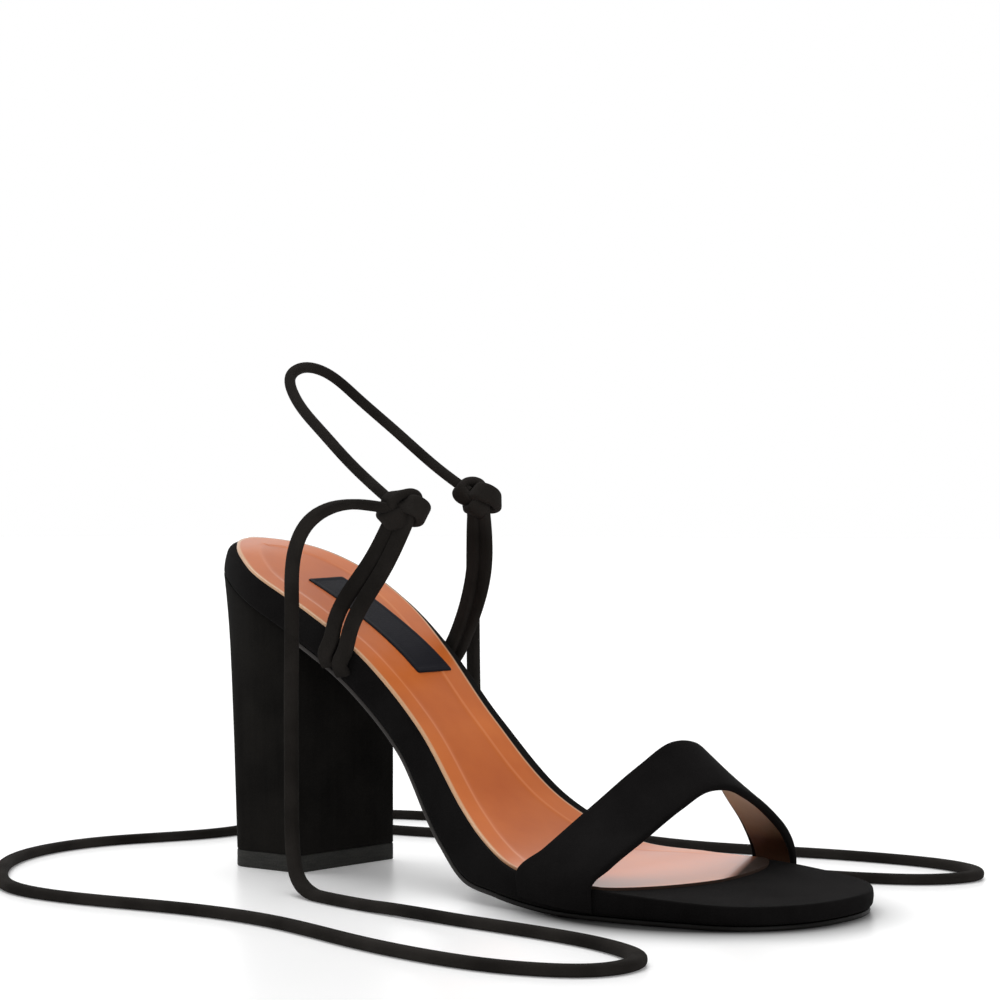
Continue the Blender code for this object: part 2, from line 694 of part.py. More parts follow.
def make_tie(name, route, finish):
    """Long tie: a plain tube along its route, held up by the floor where it lies."""
    data = bpy.data.curves.new(name, "CURVE")
    data.dimensions = "3D"
    data.bevel_depth = TIE_DIAMETER / 2 * MM
    data.bevel_resolution = 2
    data.use_fill_caps = True
    path = smooth_route(route, TIE_SPACING)
    path[:, 2] = np.maximum(path[:, 2], FLOOR_CORD)
    spline = data.splines.new("POLY")
    spline.points.add(len(path) - 1)
    for spot, point in zip(spline.points, path):
        spot.co = (*((Vector(point) - ORIGIN) * MM), 1.0)
    data.materials.append(finish)
    made = bpy.data.objects.new(name, data)
    bpy.context.scene.collection.objects.link(made)
    return made


def make_end_knot(name, route, finish):
    """Stopper knot just past a tie's end, with the short stub beyond it."""
    end = Vector(route[-1])
    ahead = (end - Vector(route[-2])).normalized()
    centre = end + ahead * (END_KNOT_RADIUS + GAP)
    centre.z = END_KNOT_RADIUS + GAP
    radii = (END_KNOT_RADIUS, END_KNOT_RADIUS, END_KNOT_RADIUS)
    body = ball(name, centre, radii, finish)
    tip = centre + ahead * (END_KNOT_RADIUS + END_STUB_LENGTH)
    tip.z = FLOOR_CORD
    up = Vector((0.0, 0.0, 1.0))
    stub_route = (centre, (centre + tip) / 2, tip)
    stub = flat_cord(f"{name}_stub", stub_route, END_STUB_WIDTH, CORD_THICKNESS, lambda point: up, finish)
    return fuse(body, [stub])


for old in list(bpy.data.objects):
    bpy.data.objects.remove(old, do_unlink=True)

suede = material("black suede", (0.007, 0.006, 0.006), 0.9)
rubber = material("grey rubber", (0.027, 0.027, 0.024), 0.7)
sole_leather = material("dark sole leather", (0.06, 0.055, 0.052), 0.6)
tan_leather = material("tan leather", (0.48, 0.13, 0.045), 0.5)
label_cloth = material("black label", (0.01, 0.01, 0.014), 0.7)

make_lift(rubber)
make_heel(suede)
make_outsole(sole_leather)
make_footbed(suede)
make_sock(tan_leather)
make_label(label_cloth)
make_toe_strap(suede)
make_ankle_straps(suede)
make_tie("tie_outer", OUTER_TIE_ROUTE, suede)
make_tie("tie_inner", INNER_TIE_ROUTE, suede)
make_end_knot("tie_outer_knot", OUTER_TIE_ROUTE, suede)
make_end_knot("tie_inner_knot", INNER_TIE_ROUTE, suede)
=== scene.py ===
import math

import bmesh
import bpy
import numpy as np
from mathutils import Matrix, Vector


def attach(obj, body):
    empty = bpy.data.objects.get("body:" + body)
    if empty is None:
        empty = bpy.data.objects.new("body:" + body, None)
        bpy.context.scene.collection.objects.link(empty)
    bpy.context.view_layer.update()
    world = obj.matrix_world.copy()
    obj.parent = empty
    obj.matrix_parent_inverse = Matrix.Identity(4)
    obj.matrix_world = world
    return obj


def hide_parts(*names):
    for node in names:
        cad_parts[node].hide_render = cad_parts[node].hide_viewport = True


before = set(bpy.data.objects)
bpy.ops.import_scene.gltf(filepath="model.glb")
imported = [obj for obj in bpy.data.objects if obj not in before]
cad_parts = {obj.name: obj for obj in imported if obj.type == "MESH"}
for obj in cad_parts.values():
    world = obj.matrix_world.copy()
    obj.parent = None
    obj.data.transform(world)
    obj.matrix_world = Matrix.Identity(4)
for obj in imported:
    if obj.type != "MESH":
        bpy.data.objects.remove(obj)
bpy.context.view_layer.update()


# Footbed: a shaped board wrapped in black suede, turned over a rounded rim and tucked under the
# bottom edge. The other pieces are set out from its top, in millimetres from the heel's back.
HEEL_BACK = np.array((107.3, 0.7, 0.0))
MM = 0.001
SHOE_LENGTH = 216.0
HEEL_ROUND = (36.0, 2.0)
TOE_ROUND = (26.0, 2.6)
END_TRIM = 0.01
FOOTBED_STATIONS = 170
SLOPE_STEP = 0.5
LAST_COLUMNS = ("station", "top", "outer", "inner", "board")
LAST_ROWS = np.array((
    (0.0, 97.2, 20.6, 22.6, 9.0),
    (14.0, 93.2, 22.2, 23.2, 9.0),
    (31.0, 86.0, 24.8, 23.9, 9.0),
    (52.0, 75.6, 25.6, 21.8, 9.2),
    (72.0, 62.8, 24.6, 16.8, 9.4),
    (92.0, 44.8, 24.6, 13.8, 9.5),
    (113.0, 23.4, 30.0, 18.6, 12.0),
    (122.0, 17.0, 33.2, 23.2, 12.3),
    (132.0, 11.9, 36.4, 29.0, 8.5),
    (150.0, 9.0, 39.0, 37.6, 7.3),
    (170.0, 7.8, 38.4, 40.6, 6.3),
    (190.0, 6.7, 34.8, 37.4, 5.2),
    (205.0, 6.3, 31.4, 31.8, 4.8),
    (216.0, 6.4, 27.4, 25.6, 4.7),
))
HEEL_LEAN = ((0.0, 20.0, 62.0), (0.045, 0.045, 0.0))
TUCK_RADIUS = 1.4
TUCK_RINGS = 6
WALL_BULGE = 0.15
WALL_RINGS = 7
RIM_STATIONS = (0.0, 8.0, 18.0, 32.0)
RIM_RADII = (3.0, 2.8, 1.4, 0.5)
RIM_RINGS = 7
TOP_MARGIN = 1.0
FOLD_ANGLE = 50.0
NAP_STREAKS = (620.0, 620.0, 26.0)
NAP_FIBRE_SHARE = 0.2
NAP_STREAK_RELIEF = 0.3
NAP_RANGE = (0.36, 0.64)
NAP_DEPTH = 0.0004


def smooth(knots, values, at, slopes=None):
    """Cubic curve through table values, with slopes from each row's neighbours if not given."""
    knots = np.asarray(knots, float)
    values = np.asarray(values, float)
    if slopes is None:
        slopes = np.gradient(values, knots)
    at = np.clip(np.asarray(at, float), knots[0], knots[-1])
    row = np.clip(np.searchsorted(knots, at, side="right") - 1, 0, len(knots) - 2)
    width = knots[row + 1] - knots[row]
    t = (at - knots[row]) / width
    return (
        (2 * t**3 - 3 * t**2 + 1) * values[row]
        + (t**3 - 2 * t**2 + t) * width * slopes[row]
        + (3 * t**2 - 2 * t**3) * values[row + 1]
        + (t**3 - t**2) * width * slopes[row + 1]
    )


def last(column, station):
    """One column of the last's table at a station."""
    return smooth(LAST_ROWS[:, 0], LAST_ROWS[:, LAST_COLUMNS.index(column)], station)


def rounded_end(distance, length, power):
    """Share of the full width at a distance from a rounded end."""
    t = np.clip(1.0 - np.asarray(distance, float) / length, 0.0, 1.0)
    return (1.0 - t**power) ** (1.0 / power)


def half_width(side, station):
    """Footbed half width to the outer (-1) or inner (+1) side, with heel and toe rounded."""
    station = np.asarray(station, float)
    heel = rounded_end(station, *HEEL_ROUND)
    toe = rounded_end(SHOE_LENGTH - station, *TOE_ROUND)
    return last("outer" if side < 0 else "inner", station) * heel * toe


def place(station, across, height):
    """Points at a height above the footbed's top, measured square to it in the XZ plane."""
    given = [np.asarray(value, float) for value in (station, across, height)]
    station, across, height = np.broadcast_arrays(*given)
    behind, ahead = (last("top", station + step) for step in (-SLOPE_STEP, SLOPE_STEP))
    rise = (ahead - behind) / (2 * SLOPE_STEP)
    length = np.hypot(1.0, rise)
    top = last("top", station) + across * np.interp(station, *HEEL_LEAN)
    columns = (station - height * rise / length, across, top + height / length)
    return np.stack(columns, axis=-1)


def station_grid(start, end, count):
    """Stations that crowd towards both ends, where the outline turns fastest."""
    return start + (end - start) * (1 - np.cos(np.linspace(0, math.pi, count))) / 2


def quarter_turn(count):
    """Angles from nought to a quarter of a turn."""
    return np.linspace(0, math.pi / 2, count)


def there_and_back(values):
    """Values along the outer side, and the same ones back along the inner side."""
    return np.concatenate([values, values[::-1]])


def unit(vectors):
    """Directions of length one."""
    vectors = np.asarray(vectors, float)
    return vectors / np.linalg.norm(vectors, axis=-1, keepdims=True)


def inset_loop(loop, inset):
    """Closed plan outline moved inwards, by one distance or by one at each point."""
    run = unit(np.roll(loop, -1, axis=0) - np.roll(loop, 1, axis=0))
    return loop + np.reshape(inset, (-1, 1)) * np.stack([-run[:, 1], run[:, 0]], axis=1)


def outline(stations, outer, inner, inset=0.0):
    """Closed plan outline, outer side heel to toe and inner side back."""
    loop = np.concatenate([np.stack([stations, -outer], 1), np.stack([stations, inner], 1)[::-1]])
    return inset_loop(loop, inset)


def add_piece(name, points, faces, finishes, face_finish=None):
    """Object with its faces turned outwards, from points in millimetres."""
    mesh = bpy.data.meshes.new(name)
    mesh.from_pydata(((np.asarray(points) - HEEL_BACK) * MM).tolist(), [], faces)
    for finish in finishes:
        mesh.materials.append(finish)
    if face_finish is not None:
        mesh.polygons.foreach_set("material_index", face_finish)
    work = bmesh.new()
    work.from_mesh(mesh)
    bmesh.ops.recalc_face_normals(work, faces=work.faces)
    if work.calc_volume(signed=True) < 0:
        bmesh.ops.reverse_faces(work, faces=work.faces)
    work.to_mesh(mesh)
    work.free()
    mesh.shade_smooth()
    mesh.set_sharp_from_angle(angle=math.radians(FOLD_ANGLE))
    piece = bpy.data.objects.new(name, mesh)
    bpy.context.scene.collection.objects.link(piece)
    return piece


def tube_faces(rings, sides):
    """Faces between rings of points."""
    faces = []
    for k in range(rings - 1):
        for i in range(sides):
            j = (i + 1) % sides
            faces.append((k * sides + i, k * sides + j, (k + 1) * sides + j, (k + 1) * sides + i))
    return faces


def across_faces(base, count):
    """Faces that fill a ring from side to side."""
    return [
        (base + i, base + i + 1, base + count - 2 - i, base + count - 1 - i)
        for i in range(count // 2 - 1)
    ]


def loft(name, rings, finish):
    """Closed piece through rings of equal count, its two ends filled across from side to side."""
    sides = len(rings[0])
    faces = tube_faces(len(rings), sides)
    faces += across_faces(0, sides) + across_faces((len(rings) - 1) * sides, sides)
    return add_piece(name, np.concatenate(rings), faces, [finish])


def fill_socket(tree, socket, value):
    """Input linked to another node's output, or set to a plain value or colour."""
    if isinstance(value, bpy.types.NodeSocket):
        tree.links.new(value, socket)
    elif socket.type == "RGBA":
        socket.default_value = (*value, 1.0)
    else:
        socket.default_value = value


def add_node(tree, kind, **settings):
    """Node with its properties set, and its inputs set or linked by name."""
    made = tree.nodes.new(kind)
    for name, value in settings.items():
        if hasattr(made, name):
            setattr(made, name, value)
        else:
            fill_socket(tree, made.inputs[name.replace("_", " ")], value)
    return made


def math_node(tree, operation, *values):
    """Result of a Math node."""
    made = add_node(tree, "ShaderNodeMath", operation=operation)
    for socket, value in zip(made.inputs, values):
        fill_socket(tree, socket, value)
    return made.outputs[0]


def mixed_colour(tree, factor, low, high):
    """Colour between two others."""
    made = add_node(tree, "ShaderNodeMix", data_type="RGBA", Factor=factor)
    ends = [socket for socket in made.inputs if socket.type == "RGBA"]
    for socket, value in zip(ends, (low, high)):
        fill_socket(tree, socket, value)
    return [socket for socket in made.outputs if socket.type == "RGBA"][0]


def spread(tree, value, low, high, to_low=0.0, to_high=1.0):
    """Value rescaled from one range to another."""
    made = add_node(tree, "ShaderNodeMapRange", Value=value, From_Min=low, From_Max=high,
                    To_Min=to_low, To_Max=to_high)
    return made.outputs["Result"]


def surface_group(name, inputs):
    """Empty shader group with a vector and values in, and a shade and a height out."""
    tree = bpy.data.node_groups.new(name, "ShaderNodeTree")
    tree.interface.new_socket("Vector", in_out="INPUT", socket_type="NodeSocketVector")
    for label, value in inputs:
        socket = tree.interface.new_socket(label, in_out="INPUT", socket_type="NodeSocketFloat")
        socket.default_value = value
    for label in ("Shade", "Height"):
        tree.interface.new_socket(label, in_out="OUTPUT", socket_type="NodeSocketFloat")
    return tree, tree.nodes.new("NodeGroupInput"), tree.nodes.new("NodeGroupOutput")


def new_material(name, roughness, **constants):
    """Material whose even values stand on the shader's own sockets."""
    finish = bpy.data.materials.new(name)
    finish.use_nodes = True
    tree = finish.node_tree
    shader = tree.nodes["Principled BSDF"]
    shader.inputs["Roughness"].default_value = roughness
    for label, value in constants.items():
        shader.inputs[label.replace("_", " ")].default_value = value
    where = tree.nodes.new("ShaderNodeTexCoord").outputs["Object"]
    return finish, tree, shader, where


def use_group(tree, group, where, **values):
    """Shader group placed in a material with its own values."""
    made = add_node(tree, "ShaderNodeGroup", node_tree=group, Vector=where, **values)
    return made.outputs["Shade"], made.outputs["Height"]


def bump(tree, shader, height, strength, distance):
    """Fine relief on a material."""
    made = add_node(tree, "ShaderNodeBump", Strength=strength, Distance=distance, Height=height)
    tree.links.new(made.outputs["Normal"], shader.inputs["Normal"])


def suede_nap_group():
    """Nap of suede: brushed patches, streaks along the height and single fibres."""
    tree, start, end = surface_group(
        "suede nap", (("Fibre Scale", 2400.0), ("Patch Scale", 55.0), ("Streak", 0.3)))
    where = start.outputs["Vector"]
    fibre = add_node(tree, "ShaderNodeTexNoise", Vector=where, Scale=start.outputs["Fibre Scale"],
                     Detail=3.0, Roughness=0.65)
    patch = add_node(tree, "ShaderNodeTexNoise", Vector=where, Scale=start.outputs["Patch Scale"],
                     Detail=3.0, Roughness=0.5)
    drawn = add_node(tree, "ShaderNodeMapping", Vector=where, Scale=NAP_STREAKS)
    streak = add_node(tree, "ShaderNodeTexNoise", Vector=drawn.outputs["Vector"], Scale=1.0,
                      Detail=3.0, Roughness=0.6)
    streaks = math_node(tree, "MULTIPLY", streak.outputs[0], start.outputs["Streak"])
    plain = math_node(tree, "SUBTRACT", 1.0 - NAP_FIBRE_SHARE, start.outputs["Streak"])
    patches = math_node(tree, "MULTIPLY", patch.outputs[0], plain)
    shade = math_node(tree, "ADD", streaks, patches)
    shade = math_node(tree, "MULTIPLY_ADD", fibre.outputs[0], NAP_FIBRE_SHARE, shade)
    height = math_node(
        tree, "MULTIPLY_ADD", streak.outputs[0], NAP_STREAK_RELIEF, fibre.outputs[0])
    tree.links.new(shade, end.inputs["Shade"])
    tree.links.new(height, end.inputs["Height"])
    return tree


suede_nap = suede_nap_group()


def black_suede(name, low, high, streak, fibre_scale, bump_strength):
    """Matt black suede whose nap catches a little light at its edges."""
    finish, tree, shader, where = new_material(
        name, 0.95, Specular_IOR_Level=0.02, Sheen_Weight=0.015, Sheen_Roughness=0.45)
    shade, height = use_group(tree, suede_nap, where, Fibre_Scale=fibre_scale, Streak=streak)
    colour = mixed_colour(tree, spread(tree, shade, *NAP_RANGE), low, high)
    tree.links.new(colour, shader.inputs["Base Color"])
    bump(tree, shader, height, strength=bump_strength, distance=NAP_DEPTH)
    return finish


footbed_suede = black_suede(
    "black suede wrap", (0.0043, 0.0039, 0.0039), (0.0082, 0.0076, 0.0076),
    streak=0.1, fibre_scale=2600.0, bump_strength=0.35)

stations = station_grid(END_TRIM, SHOE_LENGTH - END_TRIM, FOOTBED_STATIONS)
footbed_sides = [half_width(side, stations) for side in (-1, 1)]
rim = there_and_back(np.interp(stations, RIM_STATIONS, RIM_RADII))
footbed_levels = []
for turn in quarter_turn(TUCK_RINGS):
    footbed_levels.append((
        1.0, TUCK_RADIUS * (1 - math.sin(turn)), TUCK_RADIUS * (1 - math.cos(turn))))
for share in np.linspace(0, 1, WALL_RINGS)[1:-1]:
    lift = TUCK_RADIUS - (TUCK_RADIUS + rim) * share
    footbed_levels.append((1.0 - share, -WALL_BULGE * math.sin(math.pi * share), lift))
for turn in quarter_turn(RIM_RINGS):
    footbed_levels.append((0.0, rim * (1 - math.cos(turn)), rim * (math.sin(turn) - 1)))
footbed_levels.append((0.0, rim + TOP_MARGIN, 0.0))
footbed_rings = []
for board_share, inset, lift in footbed_levels:
    loop = outline(stations, *footbed_sides, inset)
    board = last("board", loop[:, 0])
    footbed_rings.append(place(loop[:, 0], loop[:, 1], lift - board_share * board))
footbed_wrap = loft("footbed_wrapped", footbed_rings, footbed_suede)
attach(footbed_wrap, "root")
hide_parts("footbed")


# Outsole: a thin dark sheet cemented under the footbed from the heel's breast to the toe. Its
# edge is trimmed, inked and polished. Towards the waist it is painted grey, a painted reflection
# of the white floor. It lies flat on the floor under the ball.
GAP = 0.3
OUTSOLE_BACK = 48.6
OUTSOLE_THICKNESS = 1.2
OUTSOLE_INSET = 0.8
OUTSOLE_ROUND = 0.4
OUTSOLE_ROUND_RINGS = 5
OUTSOLE_MARGIN = 1.0
OUTSOLE_TOP_EASE = (0.3, 0.2)
PORE_RELIEF = 0.6
CREASE_SHARE = 0.25
DYE_RANGE = (0.3, 0.7)
SOLE_INK = ((0.005, 0.0046, 0.0042), (0.01, 0.0093, 0.0086))
SOLE_ROUGHNESS = (0.4, 0.55)
# Painted reflection: the sole turns grey towards the waist.
WAIST_REFLECTION_TO = (0.0, 0.03)
PAINTED_REFLECTION_GREY = (0.05, 0.046, 0.044)


def fine_grain_group():
    """Smooth leather: fine pores, faint creases and uneven dye."""
    tree, start, end = surface_group(
        "fine leather grain", (("Pore Scale", 1500.0), ("Dye Scale", 60.0)))
    where = start.outputs["Vector"]
    pores = add_node(tree, "ShaderNodeTexVoronoi", Vector=where, Scale=start.outputs["Pore Scale"])
    dye = add_node(tree, "ShaderNodeTexNoise", Vector=where, Scale=start.outputs["Dye Scale"],
                   Detail=4.0, Roughness=0.55)
    crease_scale = math_node(tree, "MULTIPLY", start.outputs["Pore Scale"], CREASE_SHARE)
    creases = add_node(tree, "ShaderNodeTexNoise", Vector=where, Scale=crease_scale,
                       Detail=4.0, Roughness=0.6)
    tree.links.new(dye.outputs[0], end.inputs["Shade"])
    height = math_node(
        tree, "MULTIPLY_ADD", pores.outputs["Distance"], PORE_RELIEF, creases.outputs[0])
    tree.links.new(height, end.inputs["Height"])
    return tree


leather_grain = fine_grain_group()

sole_leather, tree, shader, where = new_material("polished sole edge", 0.5, Specular_IOR_Level=0.1)
shade, height = use_group(tree, leather_grain, where, Pore_Scale=900.0, Dye_Scale=160.0)
colour = mixed_colour(tree, spread(tree, shade, *DYE_RANGE), *SOLE_INK)
spot = add_node(tree, "ShaderNodeSeparateXYZ", Vector=where)
# Painted reflection: grey towards the waist stands in for the white floor reflected in the edge.
painted_waist_reflection = spread(tree, spot.outputs["X"], *WAIST_REFLECTION_TO, 1.0, 0.0)
colour = mixed_colour(tree, painted_waist_reflection, colour, PAINTED_REFLECTION_GREY)
tree.links.new(colour, shader.inputs["Base Color"])
tree.links.new(spread(tree, shade, *DYE_RANGE, *SOLE_ROUGHNESS), shader.inputs["Roughness"])
bump(tree, shader, height, strength=0.2, distance=0.0003)

sole_stations = station_grid(OUTSOLE_BACK, SHOE_LENGTH - END_TRIM, FOOTBED_STATIONS)
sole_sides = [half_width(side, sole_stations) for side in (-1, 1)]
sole_levels = [(OUTSOLE_THICKNESS, OUTSOLE_INSET + OUTSOLE_ROUND + OUTSOLE_MARGIN)]
for turn in quarter_turn(OUTSOLE_ROUND_RINGS):
    sole_levels.append((
        OUTSOLE_THICKNESS - OUTSOLE_ROUND * (1 - math.cos(turn)),
        OUTSOLE_INSET + OUTSOLE_ROUND * (1 - math.sin(turn)),
    ))
sole_levels.append((OUTSOLE_TOP_EASE[0], OUTSOLE_INSET))
sole_levels.append((0.0, OUTSOLE_INSET + OUTSOLE_TOP_EASE[1]))
sole_rings = []
for depth, inset in sole_levels:
    loop = outline(sole_stations, *sole_sides, inset)
    ring = place(loop[:, 0], loop[:, 1], -last("board", loop[:, 0]) - GAP - depth)
    ring[:, 2] = np.maximum(ring[:, 2], 0.0)
    sole_rings.append(ring)
outsole = loft("outsole_sheet", sole_rings, sole_leather)
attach(outsole, "root")
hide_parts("outsole")


# Heel: a straight block under the seat, covered in the same suede with the nap brushed down.
# The cover turns over softened corners at the breast and over both ends.
HEEL_BREAST = 43.8
HEEL_BASE_BACK = 15.4
HEEL_BASE_HALF_WIDTH = 21.0
HEEL_BASE_CORNER = 6.0
HEEL_BASE_POINTS = 14
HEEL_TOP_INSET = 0.1
HEEL_WAIST_INSET = 1.6
HEEL_CENTRE_GAP = 0.05
HEEL_SEAT_SAMPLES = 240
HEEL_CORNER = 1.1
HEEL_CORNER_SHARES = (0.2, 0.4, 0.6, 0.8)
HEEL_BREAST_SHARES = (0.0, 0.3, 0.6, 0.98)
HEEL_SIDE_POINTS = 34
HEEL_FOOT_EASE = ((0.0, 0.35), (0.002, 0.12), (0.006, 0.0))
HEEL_MIDDLE = (0.03, 0.97)
HEEL_MIDDLE_RINGS = 14
HEEL_SEAT_EASE = ((0.996, 0.0), (0.999, 0.1), (1.0, 0.3))
LIFT_HEIGHT = 5.0
LIFT_JOIN = 0.03


def travelled(points):
    """Length of a line up to each of its points."""
    return np.concatenate([[0.0], np.cumsum(np.linalg.norm(np.diff(points, axis=0), axis=1))])


def points_at(lengths, travel, points):
    """Points of a line at lengths along it."""
    return np.stack([np.interp(lengths, travel, column) for column in points.T], axis=1)


def turned_corner(edge, corner):
    """Half outline along an edge, round a softened corner and in to the middle of the breast."""
    travel = travelled(edge)
    shares = np.linspace(0, 1 - corner / travel[-1], HEEL_SIDE_POINTS)
    side = points_at(shares * travel[-1], travel, edge)
    tip = edge[-1]
    inwards = np.array((tip[0], tip[1] - math.copysign(corner, tip[1])))
    bend = [
        (1 - t)**2 * side[-1] + 2 * t * (1 - t) * tip + t**2 * inwards
        for t in HEEL_CORNER_SHARES
    ]
    middle = np.array((tip[0], 0.0))
    breast = [inwards + (middle - inwards) * t for t in HEEL_BREAST_SHARES]
    return np.concatenate([side, bend, breast])


def heel_base_edge(side):
    """Edge of the heel's foot on one side, from the back's middle round to the breast."""
    flat = HEEL_BASE_HALF_WIDTH - HEEL_BASE_CORNER
    edge = [(HEEL_BASE_BACK, side * HEEL_CENTRE_GAP)]
    for turn in quarter_turn(HEEL_BASE_POINTS):
        x = HEEL_BASE_BACK + HEEL_BASE_CORNER * (1 - math.cos(turn))
        edge.append((x, side * (flat + HEEL_BASE_CORNER * math.sin(turn))))
    edge.append((HEEL_BREAST, side * HEEL_BASE_HALF_WIDTH))
    return np.array(edge)


def heel_seat_edge(side):
    """Edge of the heel's top on one side, under the footbed."""
    trial = np.linspace(END_TRIM, OUTSOLE_BACK + HEEL_WAIST_INSET, HEEL_SEAT_SAMPLES)
    reach = place(trial, 0.0, -last("board", trial) - GAP)[:, 0]
    front = float(np.interp(HEEL_BREAST, reach, trial))
    seat = station_grid(END_TRIM, front, HEEL_SEAT_SAMPLES)
    inset = HEEL_TOP_INSET + (HEEL_WAIST_INSET - HEEL_TOP_INSET) * (seat / front)
    widths = np.maximum(half_width(side, seat) - inset, HEEL_CENTRE_GAP)
    return np.stack([seat, side * widths], axis=1)


def both_sides(edge_of):
    """Closed outline from the outer and inner half outlines."""
    halves = [turned_corner(edge_of(side), HEEL_CORNER) for side in (-1, 1)]
    return np.concatenate([halves[0], halves[1][::-1]])


def capped(name, rings, finish):
    """Closed piece through rings, each end filled by one face."""
    sides = len(rings[0])
    end = (len(rings) - 1) * sides
    faces = tube_faces(len(rings), sides) + [tuple(range(sides)), tuple(range(end, end + sides))]
    return add_piece(name, np.concatenate(rings), faces, [finish])


heel_suede = black_suede(
    "black suede heel cover", (0.0052, 0.0048, 0.0044), (0.0108, 0.0099, 0.0089),
    streak=0.18, fibre_scale=2400.0, bump_strength=0.3)

heel_base = both_sides(heel_base_edge)
heel_seat = both_sides(heel_seat_edge)
heel_foot = LIFT_HEIGHT + LIFT_JOIN


def heel_ring(share, inset):
    """Outline of the heel part of the way up from its foot to its seat."""
    base = inset_loop(heel_base, inset)
    seat = inset_loop(heel_seat, inset)
    seat = place(seat[:, 0], seat[:, 1], -last("board", seat[:, 0]))
    base = np.column_stack([base, np.full(len(base), heel_foot)])
    return base + (seat - base) * share


heel_middle = [(share, 0.0) for share in np.linspace(*HEEL_MIDDLE, HEEL_MIDDLE_RINGS)]
heel_levels = (*HEEL_FOOT_EASE, *heel_middle, *HEEL_SEAT_EASE)
heel_rings = [heel_ring(share, inset) for share, inset in heel_levels]
heel_cover = capped("heel_covered", heel_rings, heel_suede)
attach(heel_cover, "root")
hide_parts("heel_block")


# Lift: a dark grey rubber top piece pinned under the heel, ground flush with the cover all round
# so that its side shows fine grinding marks.
LIFT_EASE = 0.4
LIFT_LEVELS = (
    (0.0, LIFT_EASE), (0.12, 0.12), (LIFT_EASE, 0.0), (2.0, 0.0),
    (LIFT_HEIGHT - 0.35, 0.0), (LIFT_HEIGHT - 0.1, 0.1), (LIFT_HEIGHT, 0.35),
)
GRINDING_SCALE = (160.0, 160.0, 2600.0)
SPECK_SCALE = 2200.0
RUBBER_RANGE = (0.38, 0.62)
RUBBER_GREYS = ((0.016, 0.016, 0.0145), (0.03, 0.0295, 0.0265))

lift_rubber, tree, shader, where = new_material("ground rubber", 0.7, Specular_IOR_Level=0.2)
drawn = add_node(tree, "ShaderNodeMapping", Vector=where, Scale=GRINDING_SCALE)
marks = add_node(tree, "ShaderNodeTexNoise", Vector=drawn.outputs["Vector"], Scale=1.0, Detail=3.0)
specks = add_node(tree, "ShaderNodeTexNoise", Vector=where, Scale=SPECK_SCALE, Detail=2.0)
half_marks = math_node(tree, "MULTIPLY", marks.outputs[0], 0.5)
shade = math_node(tree, "MULTIPLY_ADD", specks.outputs[0], 0.5, half_marks)
colour = mixed_colour(tree, spread(tree, shade, *RUBBER_RANGE), *RUBBER_GREYS)
tree.links.new(colour, shader.inputs["Base Color"])
bump(tree, shader, shade, strength=0.25, distance=0.0003)

lift_rings = []
for level, inset in LIFT_LEVELS:
    loop = inset_loop(heel_base, inset)
    lift_rings.append(np.column_stack([loop, np.full(len(loop), level)]))
lift = capped("lift_ground", lift_rings, lift_rubber)
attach(lift, "root")
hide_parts("heel_lift")


# Sock lining: tan leather cemented on the footbed, cut a little inside its rim, with a line
# embossed along its edge and a tongue-shaped front under the toes. The cut edge is raw and pale.
# The embossed line is painted lighter as a painted highlight. The inner edge and the front edge
# are darkened as painted shade, and the tip's inner corner under the strap carries a painted
# shadow.
SOCK_THICKNESS = 0.75
SOCK_ROUND = 0.35
SOCK_OUTER_INSET = (
    (0.0, 6.0, 14.0, 26.0, 118.0, 134.0, 185.0),
    (2.6, 2.4, 1.4, 0.4, 0.5, 1.2, 1.2),
)
SOCK_INNER_INSET = (
    (0.0, 40.0, 60.0, 78.0, 100.0, 130.0, 150.0, 164.0, 176.0, 185.0),
    (2.0, 1.3, 2.0, 3.4, 4.4, 4.6, 4.2, 3.0, 1.6, 1.2),
)
SOCK_MARGIN_SHARE = (0.85, 1.1)
SOCK_PRESSED = ((132.0, 158.0), (1.0, 0.0))
SOCK_FLAT_SHARE = 0.12
SOCK_TIP = 179.5
SOCK_OUTER_FRONT = (14.0, 1.7)
SOCK_INNER_FRONT = (14.0, 1.8)
SOCK_STATIONS = 220
SOCK_COLUMNS = 13
SOCK_ROUND_RINGS = 5
SOCK_MARGIN = (
    (1.2, 0.0), (3.0, 0.0), (5.0, 0.0), (6.8, 0.0), (7.4, -0.005), (7.8, -0.02), (8.2, -0.05),
    (8.6, -0.08), (9.0, -0.1), (9.4, -0.115), (9.8, -0.12), (10.4, -0.12),
)
MIDDLE_DISTANCE = 12.0
SOCK_DYE = (0.1, 0.9)
SOCK_ROUGHNESS = (0.3, 0.38)
SOCK_COAT = 0.72
FIELD_TAN = ((0.475, 0.102, 0.017), (0.635, 0.17, 0.033))
PANEL_TAN = ((0.425, 0.087, 0.0145), (0.585, 0.152, 0.03))
PANEL_FROM = (8.3, 9.3)
# Painted highlight: the embossed line is painted lighter.
PAINTED_HIGHLIGHT_TAN = (0.66, 0.25, 0.105)
HIGHLIGHT_LINE_RISE = (7.3, 7.7)
HIGHLIGHT_LINE_FALL = (8.1, 8.6)
HIGHLIGHT_LINE_FROM = (-0.084, -0.07)
HIGHLIGHT_LINE_MOST = 0.45
RAW_TAN = (0.6, 0.35, 0.2)
RAW_TO = (0.7, 1.3)
FRONT_FROM = (0.02, 0.05)
# Painted shade along the inner and front edges. The same brown colours the painted shadow at the
# tip.
EDGE_SHADE_BROWN = (0.03, 0.015, 0.009)
EDGE_SHADE_FROM = (0.0, 0.004)
EDGE_SHADE_TO = (0.45, 0.65)
EDGE_SHADE_ROUGHNESS = 0.9
# Painted shadow at the tip's inner corner, under the strap's inner foot.
TIP_SHADOW_WAY = (0.912, 0.41, 0.0)
TIP_SHADOW_FROM = (0.0632, 0.0668)


